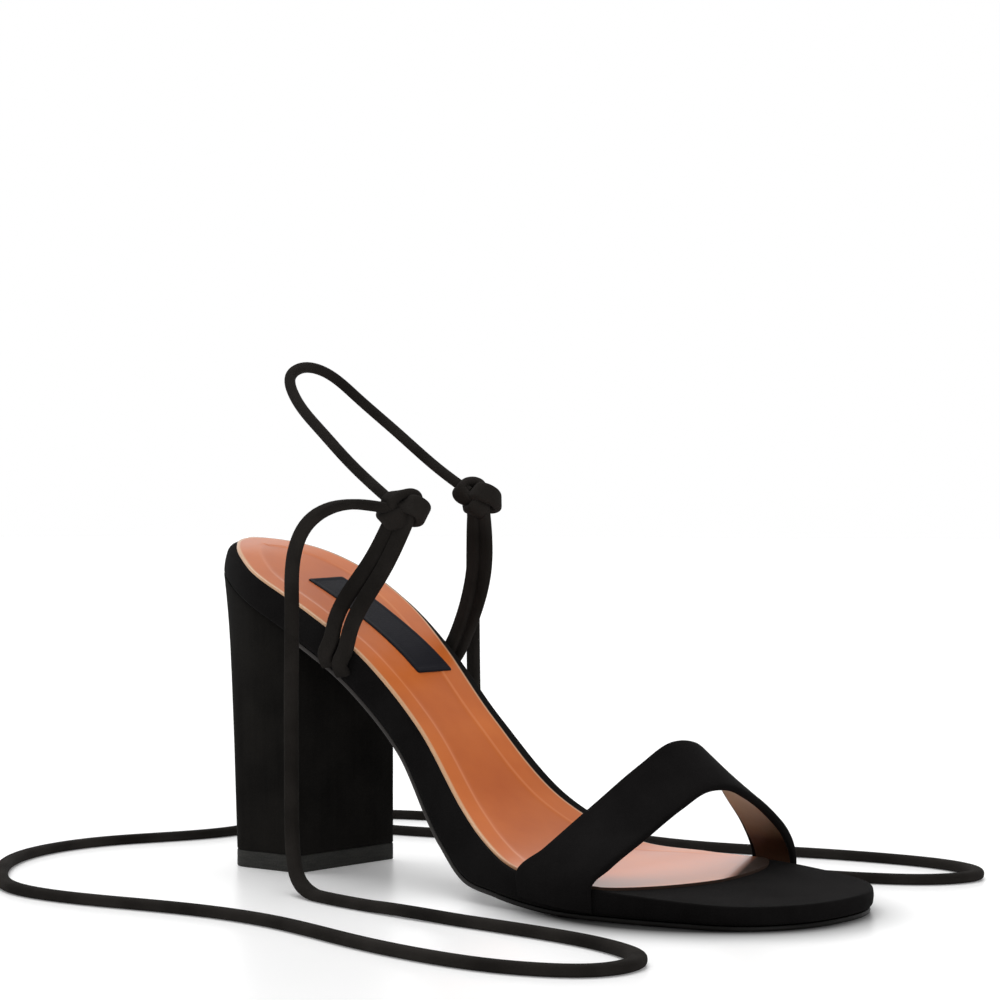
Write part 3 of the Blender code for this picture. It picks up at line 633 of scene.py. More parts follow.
def distance_along(tree, where, way):
    """How far points lie along one direction."""
    made = add_node(tree, "ShaderNodeVectorMath", operation="DOT_PRODUCT")
    fill_socket(tree, made.inputs[0], where)
    fill_socket(tree, made.inputs[1], way)
    return made.outputs["Value"]


tan_leather, tree, shader, where = new_material(
    "tan leather", 0.3, Specular_IOR_Level=0.22, Coat_Roughness=0.2, Coat_IOR=1.25)
shade, height = use_group(tree, leather_grain, where, Pore_Scale=1700.0, Dye_Scale=48.0)
edge = add_node(tree, "ShaderNodeAttribute", attribute_name="edge_distance").outputs["Fac"]
spot = add_node(tree, "ShaderNodeSeparateXYZ", Vector=where)
dye = spread(tree, shade, *SOCK_DYE)
field = mixed_colour(tree, dye, *FIELD_TAN)
panel = mixed_colour(tree, dye, *PANEL_TAN)
body = mixed_colour(tree, spread(tree, edge, *PANEL_FROM), field, panel)
# Painted highlight: the embossed line is lighter, standing in for light caught on its edge, fading
# out towards the heel's back.
line_start = spread(tree, edge, *HIGHLIGHT_LINE_RISE)
line_end = spread(tree, edge, *HIGHLIGHT_LINE_FALL)
highlight_share = spread(tree, spot.outputs["X"], *HIGHLIGHT_LINE_FROM, 0.0, HIGHLIGHT_LINE_MOST)
painted_line_highlight = math_node(tree, "MULTIPLY", math_node(tree, "SUBTRACT", line_start, line_end), highlight_share)
body = mixed_colour(tree, painted_line_highlight, body, PAINTED_HIGHLIGHT_TAN)
front = spread(tree, spot.outputs["X"], *FRONT_FROM)
raw = math_node(tree, "SUBTRACT", spread(tree, edge, *RAW_TO, 1.0, 0.0), front)
colour = mixed_colour(tree, raw, body, RAW_TAN)
# Painted shade: the inner edge and the front edge are darkened, without coat and matt.
painted_edge_shade = math_node(tree, "MAXIMUM", spread(tree, spot.outputs["Y"], *EDGE_SHADE_FROM), front)
painted_edge_shade = math_node(tree, "MULTIPLY", painted_edge_shade, spread(tree, edge, *EDGE_SHADE_TO, 1.0, 0.0))
# Painted shadow: the tip's inner corner under the strap's foot is darkened and joins the painted
# shade.
painted_tip_shadow = spread(tree, distance_along(tree, where, TIP_SHADOW_WAY), *TIP_SHADOW_FROM)
painted_edge_shade = math_node(tree, "MAXIMUM", painted_edge_shade, painted_tip_shadow)
colour = mixed_colour(tree, painted_edge_shade, colour, EDGE_SHADE_BROWN)
tree.links.new(colour, shader.inputs["Base Color"])
tree.links.new(spread(tree, painted_edge_shade, 0.0, 1.0, SOCK_COAT, 0.0), shader.inputs["Coat Weight"])
polished = spread(tree, shade, *SOCK_DYE, *SOCK_ROUGHNESS)
dulled = spread(tree, painted_edge_shade, 0.0, 1.0, 0.0, EDGE_SHADE_ROUGHNESS)
tree.links.new(math_node(tree, "MAXIMUM", polished, dulled), shader.inputs["Roughness"])
bump(tree, shader, height, strength=0.02, distance=0.0003)

sock_stations = station_grid(END_TRIM, SOCK_TIP - END_TRIM, SOCK_STATIONS)
sock_sides = []
for side, front in ((-1, SOCK_OUTER_FRONT), (1, SOCK_INNER_FRONT)):
    tongue = rounded_end(SOCK_TIP - sock_stations, *front)
    sock_sides.append(half_width(side, sock_stations) * tongue)
sock_levels = [(0.0, 0.0, 0.0)]
for turn in quarter_turn(SOCK_ROUND_RINGS):
    sock_levels.append((SOCK_ROUND * (1 - math.cos(turn)),
                        SOCK_THICKNESS + SOCK_ROUND * (math.sin(turn) - 1), 0.0))
sock_levels += [(distance, SOCK_THICKNESS, drop) for distance, drop in SOCK_MARGIN]
sock_inset = np.concatenate([
    np.interp(sock_stations, *SOCK_OUTER_INSET), np.interp(sock_stations, *SOCK_INNER_INSET)[::-1]])
pressed = there_and_back(np.interp(sock_stations, *SOCK_PRESSED))
margin_share = np.repeat(SOCK_MARGIN_SHARE, SOCK_STATIONS)
margin_share *= SOCK_FLAT_SHARE + (1 - SOCK_FLAT_SHARE) * pressed
sock_rings = []
for distance, height, drop in sock_levels:
    loop = outline(sock_stations, *sock_sides, sock_inset + distance * margin_share)
    sock_rings.append(place(loop[:, 0], loop[:, 1], height + drop * pressed))
sock_count = len(sock_rings[0])
sock_points = np.concatenate(sock_rings)
sock_faces = tube_faces(len(sock_rings), sock_count) + across_faces(0, sock_count)
sock_edges = np.repeat([distance for distance, height, drop in sock_levels], sock_count)
outer_row = sock_rings[-1][:SOCK_STATIONS]
inner_row = sock_rings[-1][SOCK_STATIONS:][::-1]
column_shares = np.linspace(0, 1, SOCK_COLUMNS)[1:-1]
columns = [outer_row + (inner_row - outer_row) * share for share in column_shares]
first_column = len(sock_points)
sock_points = np.concatenate([sock_points, *columns])
sock_edges = np.concatenate([sock_edges, np.full(SOCK_STATIONS * len(columns), MIDDLE_DISTANCE)])
last_ring = (len(sock_rings) - 1) * sock_count
column_starts = [np.arange(last_ring, last_ring + SOCK_STATIONS)]
for k in range(len(columns)):
    column_starts.append(first_column + k * SOCK_STATIONS + np.arange(SOCK_STATIONS))
column_starts.append(np.arange(last_ring + sock_count - 1, last_ring + SOCK_STATIONS - 1, -1))
for near, far in zip(column_starts, column_starts[1:]):
    for i in range(SOCK_STATIONS - 1):
        sock_faces.append((int(near[i]), int(near[i + 1]), int(far[i + 1]), int(far[i])))
for end in (0, SOCK_STATIONS - 1):
    sock_faces.append(tuple(int(column[end]) for column in column_starts))
sock = add_piece("sock_leather", sock_points, sock_faces, [tan_leather])
sock.data.attributes.new("edge_distance", "FLOAT", "POINT").data.foreach_set("value", sock_edges)
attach(sock, "root")
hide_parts("sock_lining")


# Label: a plain black patch woven in satin, with folded edges. It is cemented along the middle of
# the sock, from the heel to the waist.
LABEL_BACK = 34.4
LABEL_FRONT = 77.5
LABEL_HALF_WIDTH = 7.5
LABEL_CORNER = 0.7
LABEL_CORNER_POINTS = 5
LABEL_LENGTH_POINTS = 24
LABEL_SEAT = 0.3
LABEL_TOP = 1.1
LABEL_ROUND = 0.35
LABEL_ROUND_RINGS = 4
LABEL_FOLD = ((1.0, 0.0), (1.3, 0.12), (2.2, 0.12))
WARP_SCALE = 900.0
WEFT_SCALE = 420.0
WEFT_SHARE = 0.4
THREAD_WANDER = 0.4
SATIN_BLACKS = ((0.004, 0.004, 0.0065), (0.008, 0.008, 0.0125))

label_satin, tree, shader, where = new_material("black satin", 0.6, Specular_IOR_Level=0.08)
warp, weft = (
    add_node(tree, "ShaderNodeTexWave", bands_direction=way, Vector=where, Scale=scale,
             Distortion=THREAD_WANDER).outputs[1]
    for way, scale in (("Y", WARP_SCALE), ("X", WEFT_SCALE))
)
weave = math_node(tree, "MULTIPLY_ADD", weft, WEFT_SHARE, warp)
colour = mixed_colour(tree, spread(tree, weave, 0.0, 1.0 + WEFT_SHARE), *SATIN_BLACKS)
tree.links.new(colour, shader.inputs["Base Color"])
bump(tree, shader, weave, strength=0.2, distance=0.0002)

label_ease = LABEL_CORNER * (1 - np.cos(quarter_turn(LABEL_CORNER_POINTS)))
label_middle = np.linspace(
    LABEL_BACK + LABEL_CORNER, LABEL_FRONT - LABEL_CORNER, LABEL_LENGTH_POINTS)[1:-1]
label_stations = np.concatenate([
    LABEL_BACK + label_ease, label_middle, LABEL_FRONT - label_ease[::-1]])
label_end = np.minimum(label_stations - LABEL_BACK, LABEL_FRONT - label_stations)
label_width = LABEL_HALF_WIDTH - LABEL_CORNER * (1 - rounded_end(label_end, LABEL_CORNER, 2.0))
label_plan = outline(label_stations, label_width, label_width)
label_centre = np.array(((LABEL_BACK + LABEL_FRONT) / 2, 0.0))
label_half = np.array(((LABEL_FRONT - LABEL_BACK) / 2, LABEL_HALF_WIDTH))
label_levels = [(0.0, LABEL_SEAT)]
for turn in quarter_turn(LABEL_ROUND_RINGS):
    label_levels.append((LABEL_ROUND * (1 - math.cos(turn)),
                         LABEL_TOP + LABEL_ROUND * (math.sin(turn) - 1)))
label_levels += [(inset, LABEL_TOP - drop) for inset, drop in LABEL_FOLD]
label_rings = []
for inset, height in label_levels:
    loop = label_centre + (label_plan - label_centre) * (1 - inset / label_half)
    label_rings.append(place(loop[:, 0], loop[:, 1], height))
label = loft("label_satin", label_rings, label_satin)
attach(label, "root")
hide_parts("sock_label")


# Toe strap: a band of black suede folded round its edges and lined with beige leather. It stands
# over the toes like a tent, and both feet are skived thin and cemented down the footbed's wall.
STRAP_THICKNESS = 2.2
STRAP_OUTER_FEET = (139.0, 164.0)
STRAP_INNER_FEET = (160.0, 174.0)
STRAP_WALL_DEPTHS = (6.0, 3.0, 0.0)
STRAP_ROWS = np.array((
    (-35.0, 145.0, 15.5, 167.0, 12.8),
    (-23.5, 151.2, 25.5, 169.8, 19.4),
    (-10.0, 157.6, 36.6, 172.0, 26.4),
    (-1.0, 161.0, 42.2, 173.4, 30.0),
    (6.0, 162.0, 41.8, 174.4, 30.0),
    (16.0, 161.0, 36.0, 175.4, 26.6),
    (27.0, 159.2, 26.6, 175.6, 20.8),
    (35.5, 159.8, 17.0, 175.2, 14.6),
))
STRAP_STEPS = 10
STRAP_COLUMNS = 25
STRAP_TOP_POINTS = 15
STRAP_EDGE_POINTS = 9
STRAP_FOOT_THIN = 0.15
STRAP_SKIVE = 13.0
STRAP_CROWN = 0.25
LINING_POINTS = 11
LINING_INSET = 1.5
LINING_SEAM = 0.1
LINING_STAND = 0.2
LINING_BEIGES = ((0.45, 0.43, 0.27), (0.55, 0.54, 0.34))
# Painted shade: the lining darkens to brown towards the strap's feet.
LINING_PAINTED_SHADE = (0.045, 0.018, 0.008)
LINING_SHADE_HEIGHTS = (14.0, 33.0)


def strap_wall_row(side, feet, depth):
    """Points of the strap's inner face down the footbed's side wall."""
    x = np.linspace(*feet, STRAP_COLUMNS)
    return np.stack([x, side * (half_width(side, x) + GAP), last("top", x) - depth], axis=1)


strap_rows = [strap_wall_row(-1, STRAP_OUTER_FEET, depth) for depth in STRAP_WALL_DEPTHS]
for across, back_x, back_z, front_x, front_z in STRAP_ROWS:
    share = np.linspace(0, 1, STRAP_COLUMNS)[:, None]
    back, front = np.array((back_x, across, back_z)), np.array((front_x, across, front_z))
    strap_rows.append(back + (front - back) * share)
strap_rows += [strap_wall_row(1, STRAP_INNER_FEET, depth) for depth in STRAP_WALL_DEPTHS[::-1]]
strap_rows = np.array(strap_rows)
row_travel = travelled(strap_rows[:, STRAP_COLUMNS // 2])
row_count = (len(strap_rows) - 1) * STRAP_STEPS + 1
row_places = np.linspace(0, len(strap_rows) - 1, row_count)
row_at = np.interp(row_places, range(len(strap_rows)), row_travel)
strap_grid = np.empty((row_count, STRAP_COLUMNS, 3))
for column in range(STRAP_COLUMNS):
    for axis in range(3):
        strap_grid[:, column, axis] = smooth(row_travel, strap_rows[:, column, axis], row_at)
strap_normal = unit(np.cross(np.gradient(strap_grid, axis=1), np.gradient(strap_grid, axis=0)))
foot_at = np.minimum(row_at, row_travel[-1] - row_at)
foot_thin = np.interp(foot_at, (0.0, STRAP_SKIVE), (STRAP_FOOT_THIN, 1.0))


def strap_section(width, thickness):
    """Closed section of the strap as distance from its back edge, height and lining mark."""
    radius = thickness / 2
    section = []
    for share in np.linspace(0, 1, STRAP_TOP_POINTS):
        crown = STRAP_CROWN * math.sin(math.pi * share)
        section.append((radius + (width - 2 * radius) * share, thickness + crown, 0))
    for turn in np.linspace(math.pi / 2, -math.pi / 2, STRAP_EDGE_POINTS)[1:]:
        distance = width - radius + radius * math.cos(turn)
        section.append((distance, radius + radius * math.sin(turn), 0))
    section.append((width - LINING_INSET + LINING_SEAM, 0.0, 0))
    for share in np.linspace(0, 1, LINING_POINTS):
        distance = width - LINING_INSET - (width - 2 * LINING_INSET) * share
        section.append((distance, -LINING_STAND, 1))
    section.append((LINING_INSET - LINING_SEAM, 0.0, 0))
    for turn in np.linspace(1.5 * math.pi, math.pi / 2, STRAP_EDGE_POINTS)[:-1]:
        section.append((radius + radius * math.cos(turn), radius + radius * math.sin(turn), 0))
    return np.array(section)


strap_suede = black_suede(
    "black suede strap", (0.0047, 0.0043, 0.0043), (0.0088, 0.0081, 0.0081),
    streak=0.08, fibre_scale=2600.0, bump_strength=0.35)

strap_lining, tree, shader, where = new_material(
    "beige lining leather", 0.5, Specular_IOR_Level=0.4)
shade, height = use_group(tree, leather_grain, where, Pore_Scale=1600.0, Dye_Scale=70.0)
colour = mixed_colour(tree, spread(tree, shade, *DYE_RANGE), *LINING_BEIGES)
spot = add_node(tree, "ShaderNodeSeparateXYZ", Vector=where)
# Painted shade: the lining turns brown below these heights, where the strap shades its own feet.
above_lining_shade = spread(tree, spot.outputs["Z"], LINING_SHADE_HEIGHTS[0] * MM, LINING_SHADE_HEIGHTS[1] * MM)
colour = mixed_colour(tree, above_lining_shade, LINING_PAINTED_SHADE, colour)
tree.links.new(colour, shader.inputs["Base Color"])
bump(tree, shader, height, strength=0.15, distance=0.0003)

strap_rings = []
shares = np.linspace(0, 1, STRAP_COLUMNS)
for row in range(row_count):
    width = np.linalg.norm(strap_grid[row, -1] - strap_grid[row, 0])
    section = strap_section(width, STRAP_THICKNESS * foot_thin[row])
    at = section[:, 0] / width
    seat = points_at(at, shares, strap_grid[row])
    out = points_at(at, shares, strap_normal[row])
    strap_rings.append(seat + out * section[:, 1:2])
section_size = len(strap_rings[0])
strap_faces = tube_faces(row_count, section_size)
lined = section[:, 2]
ring_marks = [int(lined[i] and lined[(i + 1) % section_size]) for i in range(section_size)]
strap_marks = ring_marks * (row_count - 1) + [0, 0]
strap_end = (row_count - 1) * section_size
strap_faces += [tuple(range(section_size)), tuple(range(strap_end, strap_end + section_size))]
toe_strap = add_piece(
    "toe_strap_folded", np.concatenate(strap_rings), strap_faces, [strap_suede, strap_lining],
    face_finish=strap_marks)
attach(toe_strap, "root")
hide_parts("toe_strap")


# Ankle cords: flat suede cords. Two on each side rise from under the sole's edge as a stay, and
# a loop runs behind the ankle between the knots that gather them.
CORD_WIDTH = 4.6
CORD_THICKNESS = 3.1
LOOP_LIE = (-0.63, 0.776, 0.0)
STAY_WIDTH = 4.9
STAY_THICKNESS = 2.3
CORD_STEP = 1.2
ROUTE_SAMPLES = 40
OUTER_KNOT = np.array((88.4, -26.0, 105.5))
INNER_KNOT = np.array((76.4, 21.0, 109.0))
HEEL_LOOP_ROUTE = (
    (84.0, -25.8, 107.6), (67.6, -23.5, 117.6), (50.4, -18.8, 128.4), (34.0, -13.0, 139.8),
    (28.6, -8.0, 145.8), (28.2, -2.0, 148.2), (30.4, 4.6, 147.0), (37.5, 10.5, 139.8),
    (50.0, 15.0, 128.8), (64.0, 18.2, 117.5), (74.5, 20.2, 110.5),
)
STAY_COLUMNS = ("foot_x", "foot_z", "rim_z", "rim_lean", "lean", "knot_shift", "layer")
OUTER_STAYS = ((59.8, 62.5, 73.0, 3.6, 0.6, -2.6, 0.0), (65.0, 60.0, 70.0, 3.6, 0.6, 2.6, 0.0))
INNER_STAYS = ((61.6, 59.0, 68.6, 6.0, 1.0, -1.8, 0.0), (63.4, 58.0, 67.6, 6.0, 1.04, 1.8, 0.8))
STAY_KNOT_DROP = 0.5
STAY_TUCK = (1.8, 1.4)
STAY_FOOT_RISE = 1.5
CORD_EASE = 0.42
CORD_EASE_POINTS = 4
CORD_FOLD_ANGLE = 60.0


def even_slopes(knots, values):
    """Slopes that make the curve through table values bend evenly, as a limp cord does."""
    rows = len(knots)
    inverse = 1.0 / np.diff(knots)
    rise = 3.0 * np.diff(values) * inverse**2
    matrix = np.zeros((rows, rows))
    ends = np.zeros(rows)
    for i in range(rows - 1):
        matrix[i, i] += 2 * inverse[i]
        matrix[i + 1, i + 1] += 2 * inverse[i]
        matrix[i, i + 1] = matrix[i + 1, i] = inverse[i]
        ends[i] += rise[i]
        ends[i + 1] += rise[i]
    return np.linalg.solve(matrix, ends)


def smooth_route(route, spacing):
    """Evenly spaced points on a smooth curve through a route's own points."""
    route = np.array(route, float)
    travel = travelled(route)
    dense_at = np.linspace(0, travel[-1], ROUTE_SAMPLES * len(route))
    columns = [smooth(travel, column, dense_at, even_slopes(travel, column)) for column in route.T]
    dense = np.stack(columns, axis=1)
    length = travelled(dense)
    even = np.linspace(0, length[-1], max(2, round(length[-1] / spacing) + 1))
    return points_at(even, length, dense)


def flat_cord_tree():
    """Flat cord with softened edges swept along a path, its thin way on the path's facing."""
    tree = bpy.data.node_groups.new("flat cord", "GeometryNodeTree")
    tree.interface.new_socket("Path", in_out="INPUT", socket_type="NodeSocketGeometry")
    sockets = {}
    for label, kind in (
        ("Width", "NodeSocketFloat"),
        ("Thickness", "NodeSocketFloat"),
        ("Edge Radius", "NodeSocketFloat"),
        ("Finish", "NodeSocketMaterial"),
    ):
        sockets[label] = tree.interface.new_socket(label, in_out="INPUT", socket_type=kind)
    tree.interface.new_socket("Cord", in_out="OUTPUT", socket_type="NodeSocketGeometry")
    start = tree.nodes.new("NodeGroupInput")
    end = tree.nodes.new("NodeGroupOutput")
    facing = add_node(
        tree, "GeometryNodeInputNamedAttribute", data_type="FLOAT_VECTOR", Name="facing")
    line = add_node(tree, "GeometryNodeMeshToCurve", Mesh=start.outputs["Path"])
    turned = add_node(tree, "GeometryNodeSetCurveNormal", mode="FREE", Curve=line.outputs["Curve"],
                      Normal=facing.outputs[0])
    section = add_node(tree, "GeometryNodeCurvePrimitiveQuadrilateral",
                       Width=start.outputs["Thickness"], Height=start.outputs["Width"])
    eased = add_node(tree, "GeometryNodeFilletCurve", mode="POLY", Curve=section.outputs["Curve"],
                     Radius=start.outputs["Edge Radius"], Limit_Radius=True, Count=CORD_EASE_POINTS)
    swept = add_node(tree, "GeometryNodeCurveToMesh", Curve=turned.outputs["Curve"],
                     Profile_Curve=eased.outputs["Curve"], Fill_Caps=True)
    real = add_node(tree, "GeometryNodeRealizeInstances", Geometry=swept.outputs["Mesh"])
    done = add_node(tree, "GeometryNodeSetMaterial", Geometry=real.outputs["Geometry"],
                    Material=start.outputs["Finish"])
    tree.links.new(done.outputs["Geometry"], end.inputs["Cord"])
    return tree, {label: socket.identifier for label, socket in sockets.items()}


cord_tree, cord_inputs = flat_cord_tree()
cord_suede = black_suede(
    "black suede cord", (0.0105, 0.0092, 0.0082), (0.021, 0.0186, 0.0168),
    streak=0.0, fibre_scale=2600.0, bump_strength=0.4)


def make_cord(name, path, facing, width, thickness, closed=False):
    """Piece of flat cord along points in millimetres, facing one way at each."""
    path = np.asarray(path, float)
    facing = np.broadcast_to(np.asarray(facing, float), path.shape)
    count = len(path)
    edges = [(i, i + 1) for i in range(count - 1)]
    tangent = np.gradient(path, axis=0)
    if closed:
        edges.append((count - 1, 0))
        tangent = np.roll(path, -1, axis=0) - np.roll(path, 1, axis=0)
    tangent = unit(tangent)
    square = unit(facing - tangent * np.sum(facing * tangent, axis=1, keepdims=True))
    line = bpy.data.meshes.new(name)
    line.from_pydata(((path - HEEL_BACK) * MM).tolist(), edges, [])
    line_facing = line.attributes.new("facing", "FLOAT_VECTOR", "POINT")
    line_facing.data.foreach_set("vector", square.ravel())
    cord = bpy.data.objects.new(name, line)
    bpy.context.scene.collection.objects.link(cord)
    sweep = cord.modifiers.new("flat cord", "NODES")
    sweep.node_group = cord_tree
    sweep[cord_inputs["Width"]] = width * MM
    sweep[cord_inputs["Thickness"]] = thickness * MM
    sweep[cord_inputs["Edge Radius"]] = CORD_EASE * thickness * MM
    sweep[cord_inputs["Finish"]] = cord_suede
    graph = bpy.context.evaluated_depsgraph_get()
    mesh = bpy.data.meshes.new_from_object(cord.evaluated_get(graph), depsgraph=graph)
    cord.modifiers.remove(sweep)
    cord.data = mesh
    bpy.data.meshes.remove(line)
    mesh.name = name
    mesh.shade_smooth()
    mesh.set_sharp_from_angle(angle=math.radians(CORD_FOLD_ANGLE))
    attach(cord, "root")
    return cord


loop_path = smooth_route(HEEL_LOOP_ROUTE, CORD_STEP)
loop_facing = np.cross(np.gradient(loop_path, axis=0), LOOP_LIE)
heel_loop = make_cord("heel_loop_cord", loop_path, loop_facing, CORD_WIDTH, CORD_THICKNESS)
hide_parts("ankle_straps")

for label, side, stays, knot in (
    ("outer", -1, OUTER_STAYS, OUTER_KNOT),
    ("inner", 1, INNER_STAYS, INNER_KNOT),
):
    for name, values in zip(("back", "front"), stays):
        stay = dict(zip(STAY_COLUMNS, values))
        foot_x, foot_z, rim_z, rim_lean = (stay[column] for column in STAY_COLUMNS[:4])
        slope = float(half_width(side, foot_x + 1) - half_width(side, foot_x - 1)) / 2
        outward = np.array((-slope, side, 0.0)) / math.hypot(slope, 1.0)
        wall = np.array((foot_x, side * float(half_width(side, foot_x)), 0.0))
        seat = wall + outward * (2 * GAP + STAY_THICKNESS * (0.5 + stay["layer"]))
        entry = knot[0] + stay["knot_shift"]
        leant = seat[0] + (entry - seat[0]) * stay["lean"]
        tuck = seat - outward * STAY_TUCK[0]
        route = (
            (tuck[0], tuck[1], foot_z - STAY_TUCK[1]),
            (seat[0], seat[1], foot_z + STAY_FOOT_RISE),
            (seat[0] + rim_lean / 2, seat[1], (foot_z + rim_z) / 2),
            (seat[0] + rim_lean, seat[1], rim_z),
            (leant, (seat[1] + knot[1]) / 2, (rim_z + knot[2]) / 2),
            (entry, knot[1], knot[2] - STAY_KNOT_DROP),
        )
        path = smooth_route(route, CORD_STEP)
        cord = make_cord(f"{label}_stay_{name}", path, outward, STAY_WIDTH, STAY_THICKNESS)
        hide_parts("ankle_straps")


# Ankle knots: each gathers a stay, the heel loop and a tie in one overhand knot of the same
# suede cord, pulled tight into a lump.
KNOT_POINTS = 120
KNOT_REACH = 3.0
KNOT_HALF_HEIGHT = 4.0
KNOT_HALF_DEPTH = 2.6
KNOT_CORD = (5.8, 2.7)
UP = np.array((0.0, 0.0, 1.0))


def knot_path(centre, axes, half_sizes):
    """Closed path of a tight overhand knot, as wide, high and deep as its half sizes."""
    turn = np.linspace(0, 2 * math.pi, KNOT_POINTS, endpoint=False)
    shape = np.stack([
        (np.sin(turn) + 2 * np.sin(2 * turn)) / KNOT_REACH,
        (np.cos(turn) - 2 * np.cos(2 * turn)) / KNOT_REACH,
        -np.sin(3 * turn),
    ], axis=1)
    return np.asarray(centre) + (shape * half_sizes) @ np.asarray(axes), shape @ np.asarray(axes)


def knot_axes(normal, lean):
    """Axes of a knot: along, up and out, leaning by an angle about the way out."""
    out = unit(normal)
    level = unit(np.cross(UP, out))
    up = np.cross(out, level)
    along_axis = level * math.cos(lean) + up * math.sin(lean)
    return np.array((along_axis, np.cross(out, along_axis), out))


for label, knot, normal, lean, half_length in (
    ("outer", OUTER_KNOT, (0.35, -1.0, 0.0), math.pi + 0.15, 6.7),
    ("inner", INNER_KNOT, (0.2, -1.0, 0.0), -0.35, 6.2),
):
    half_sizes = (half_length, KNOT_HALF_HEIGHT, KNOT_HALF_DEPTH)
    path, facing = knot_path(knot, knot_axes(normal, lean), half_sizes)
    piece = make_cord(f"{label}_ankle_knot", path, facing, *KNOT_CORD, closed=True)
    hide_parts("ankle_straps")


# Ties: the two long ends of the same cord, one from each ankle knot. Undone, each hangs from its
# knot and lies in loose curves on the floor, and a stopper knot holds its cut end.
TIE_WIDTH = 4.2
TIE_THICKNESS = 2.9
TIE_STEP = 1.5
FLOOR_CORD = 2.3
TIE_REST = 1.5
TIE_SETTLE = 8.0
TIE_ENTRY = 0.35
TIE_TAIL_POINTS = 6
ANKLE_AXIS = np.array((62.0, -2.5, 0.0))
END_KNOT_RADIUS = 4.3
STOPPER_HALF_SIZES = (3.2, 3.2, 1.6)
STOPPER_CORD = (2.8, 2.5)
STUB_LENGTH = 5.0
STUB_CORD = (4.0, TIE_THICKNESS - 0.2)
STUB_SAG = (0.0, 0.0, 0.4)
STUB_STEP = 0.8
OUTER_TIE_FALL = (
    (84.8, -31.4, 106.1), (80.6, -36.0, 106.8), (74.8, -40.8, 105.8), (69.4, -44.3, 101.6),
    (66.4, -46.0, 94.8), (65.4, -46.5, 80.0), (65.4, -46.7, 55.0), (66.0, -47.2, 30.0),
    (68.0, -49.0, 14.8), (73.6, -52.8, 5.6),
)
OUTER_TIE_FLOOR = (
    (84.0, -57.0), (109.0, -62.2), (143.0, -66.0), (174.0, -69.0), (200.0, -76.0), (213.0, -87.0),
    (213.0, -101.0), (200.0, -110.0), (174.0, -112.0), (141.0, -106.0), (107.0, -97.0),
    (73.0, -96.0), (40.0, -101.0), (11.0, -99.0), (-13.0, -84.0), (-33.0, -64.0), (-46.0, -39.0),
    (-47.0, -11.0), (-38.0, 14.0), (-36.0, 37.0), (-46.0, 57.0),
)
INNER_TIE_FALL = (
    (72.2, 26.8, 108.6), (70.0, 28.9, 108.7), (66.1, 32.4, 107.2), (63.0, 35.4, 103.0),
    (61.8, 36.6, 97.4), (61.4, 37.0, 80.0), (61.5, 37.2, 55.0), (61.9, 37.6, 30.0),
    (63.6, 38.6, 14.8), (69.2, 41.0, 5.6),
)
INNER_TIE_FLOOR = (
    (79.0, 43.4), (102.0, 48.0), (130.0, 56.0), (158.0, 60.0), (183.0, 66.0), (199.0, 76.0),
    (203.0, 90.0), (192.0, 102.0), (168.0, 106.0), (138.0, 102.0), (106.0, 95.0), (74.0, 98.0),
    (42.0, 106.0), (11.0, 108.0), (-17.0, 103.0), (-33.0, 94.0), (-36.0, 80.0), (-25.0, 69.0),
    (-2.0, 66.0), (26.0, 71.0), (54.0, 76.0), (78.0, 74.0),
)

for label, knot, fall, laid in (
    ("outer", OUTER_KNOT, OUTER_TIE_FALL, OUTER_TIE_FLOOR),
    ("inner", INNER_KNOT, INNER_TIE_FALL, INNER_TIE_FLOOR),
):
    route = np.array((*fall, *((x, y, FLOOR_CORD) for x, y in laid)))
    path = smooth_route((knot + (route[0] - knot) * TIE_ENTRY, *route), TIE_STEP)
    path[:, 2] = np.maximum(path[:, 2], FLOOR_CORD)
    settling = (FLOOR_CORD, FLOOR_CORD + TIE_SETTLE)
    path[:, 2] -= np.interp(path[:, 2], settling, (FLOOR_CORD - TIE_REST, 0.0))
    ahead = unit(route[-1] - route[-2])
    centre = route[-1] + ahead * (END_KNOT_RADIUS + GAP)
    centre[2] = END_KNOT_RADIUS
    rise = np.linspace(0, 1, TIE_TAIL_POINTS)[1:, None]
    tail = path[-1] + (centre - path[-1]) * rise
    steep = np.abs(unit(np.gradient(path, axis=0))[:, 2:3])
    from_ankle = unit((path - ANKLE_AXIS) * (1.0, 1.0, 0.0))
    facing = from_ankle * steep + UP * (1 - steep)
    tie_path = np.concatenate([path, tail])
    tie_facing = np.concatenate([facing, np.tile(UP, (len(tail), 1))])
    tie = make_cord(f"tie_{label}_cord", tie_path, tie_facing, TIE_WIDTH, TIE_THICKNESS)
    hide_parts(f"tie_{label}")

    turned = np.array((ahead, np.cross(UP, ahead), UP))
    knot_line, knot_out = knot_path(centre, turned, STOPPER_HALF_SIZES)
    stopper = make_cord(f"tie_{label}_stopper", knot_line, knot_out, *STOPPER_CORD, closed=True)
    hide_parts(f"tie_{label}_knot")
    tip = centre + ahead * (END_KNOT_RADIUS + STUB_LENGTH)
    tip[2] = TIE_REST
    stub_path = smooth_route((centre, (centre + tip) / 2 - STUB_SAG, tip), STUB_STEP)
    stub = make_cord(f"tie_{label}_cut_end", stub_path, UP, *STUB_CORD)
    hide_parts(f"tie_{label}_knot")


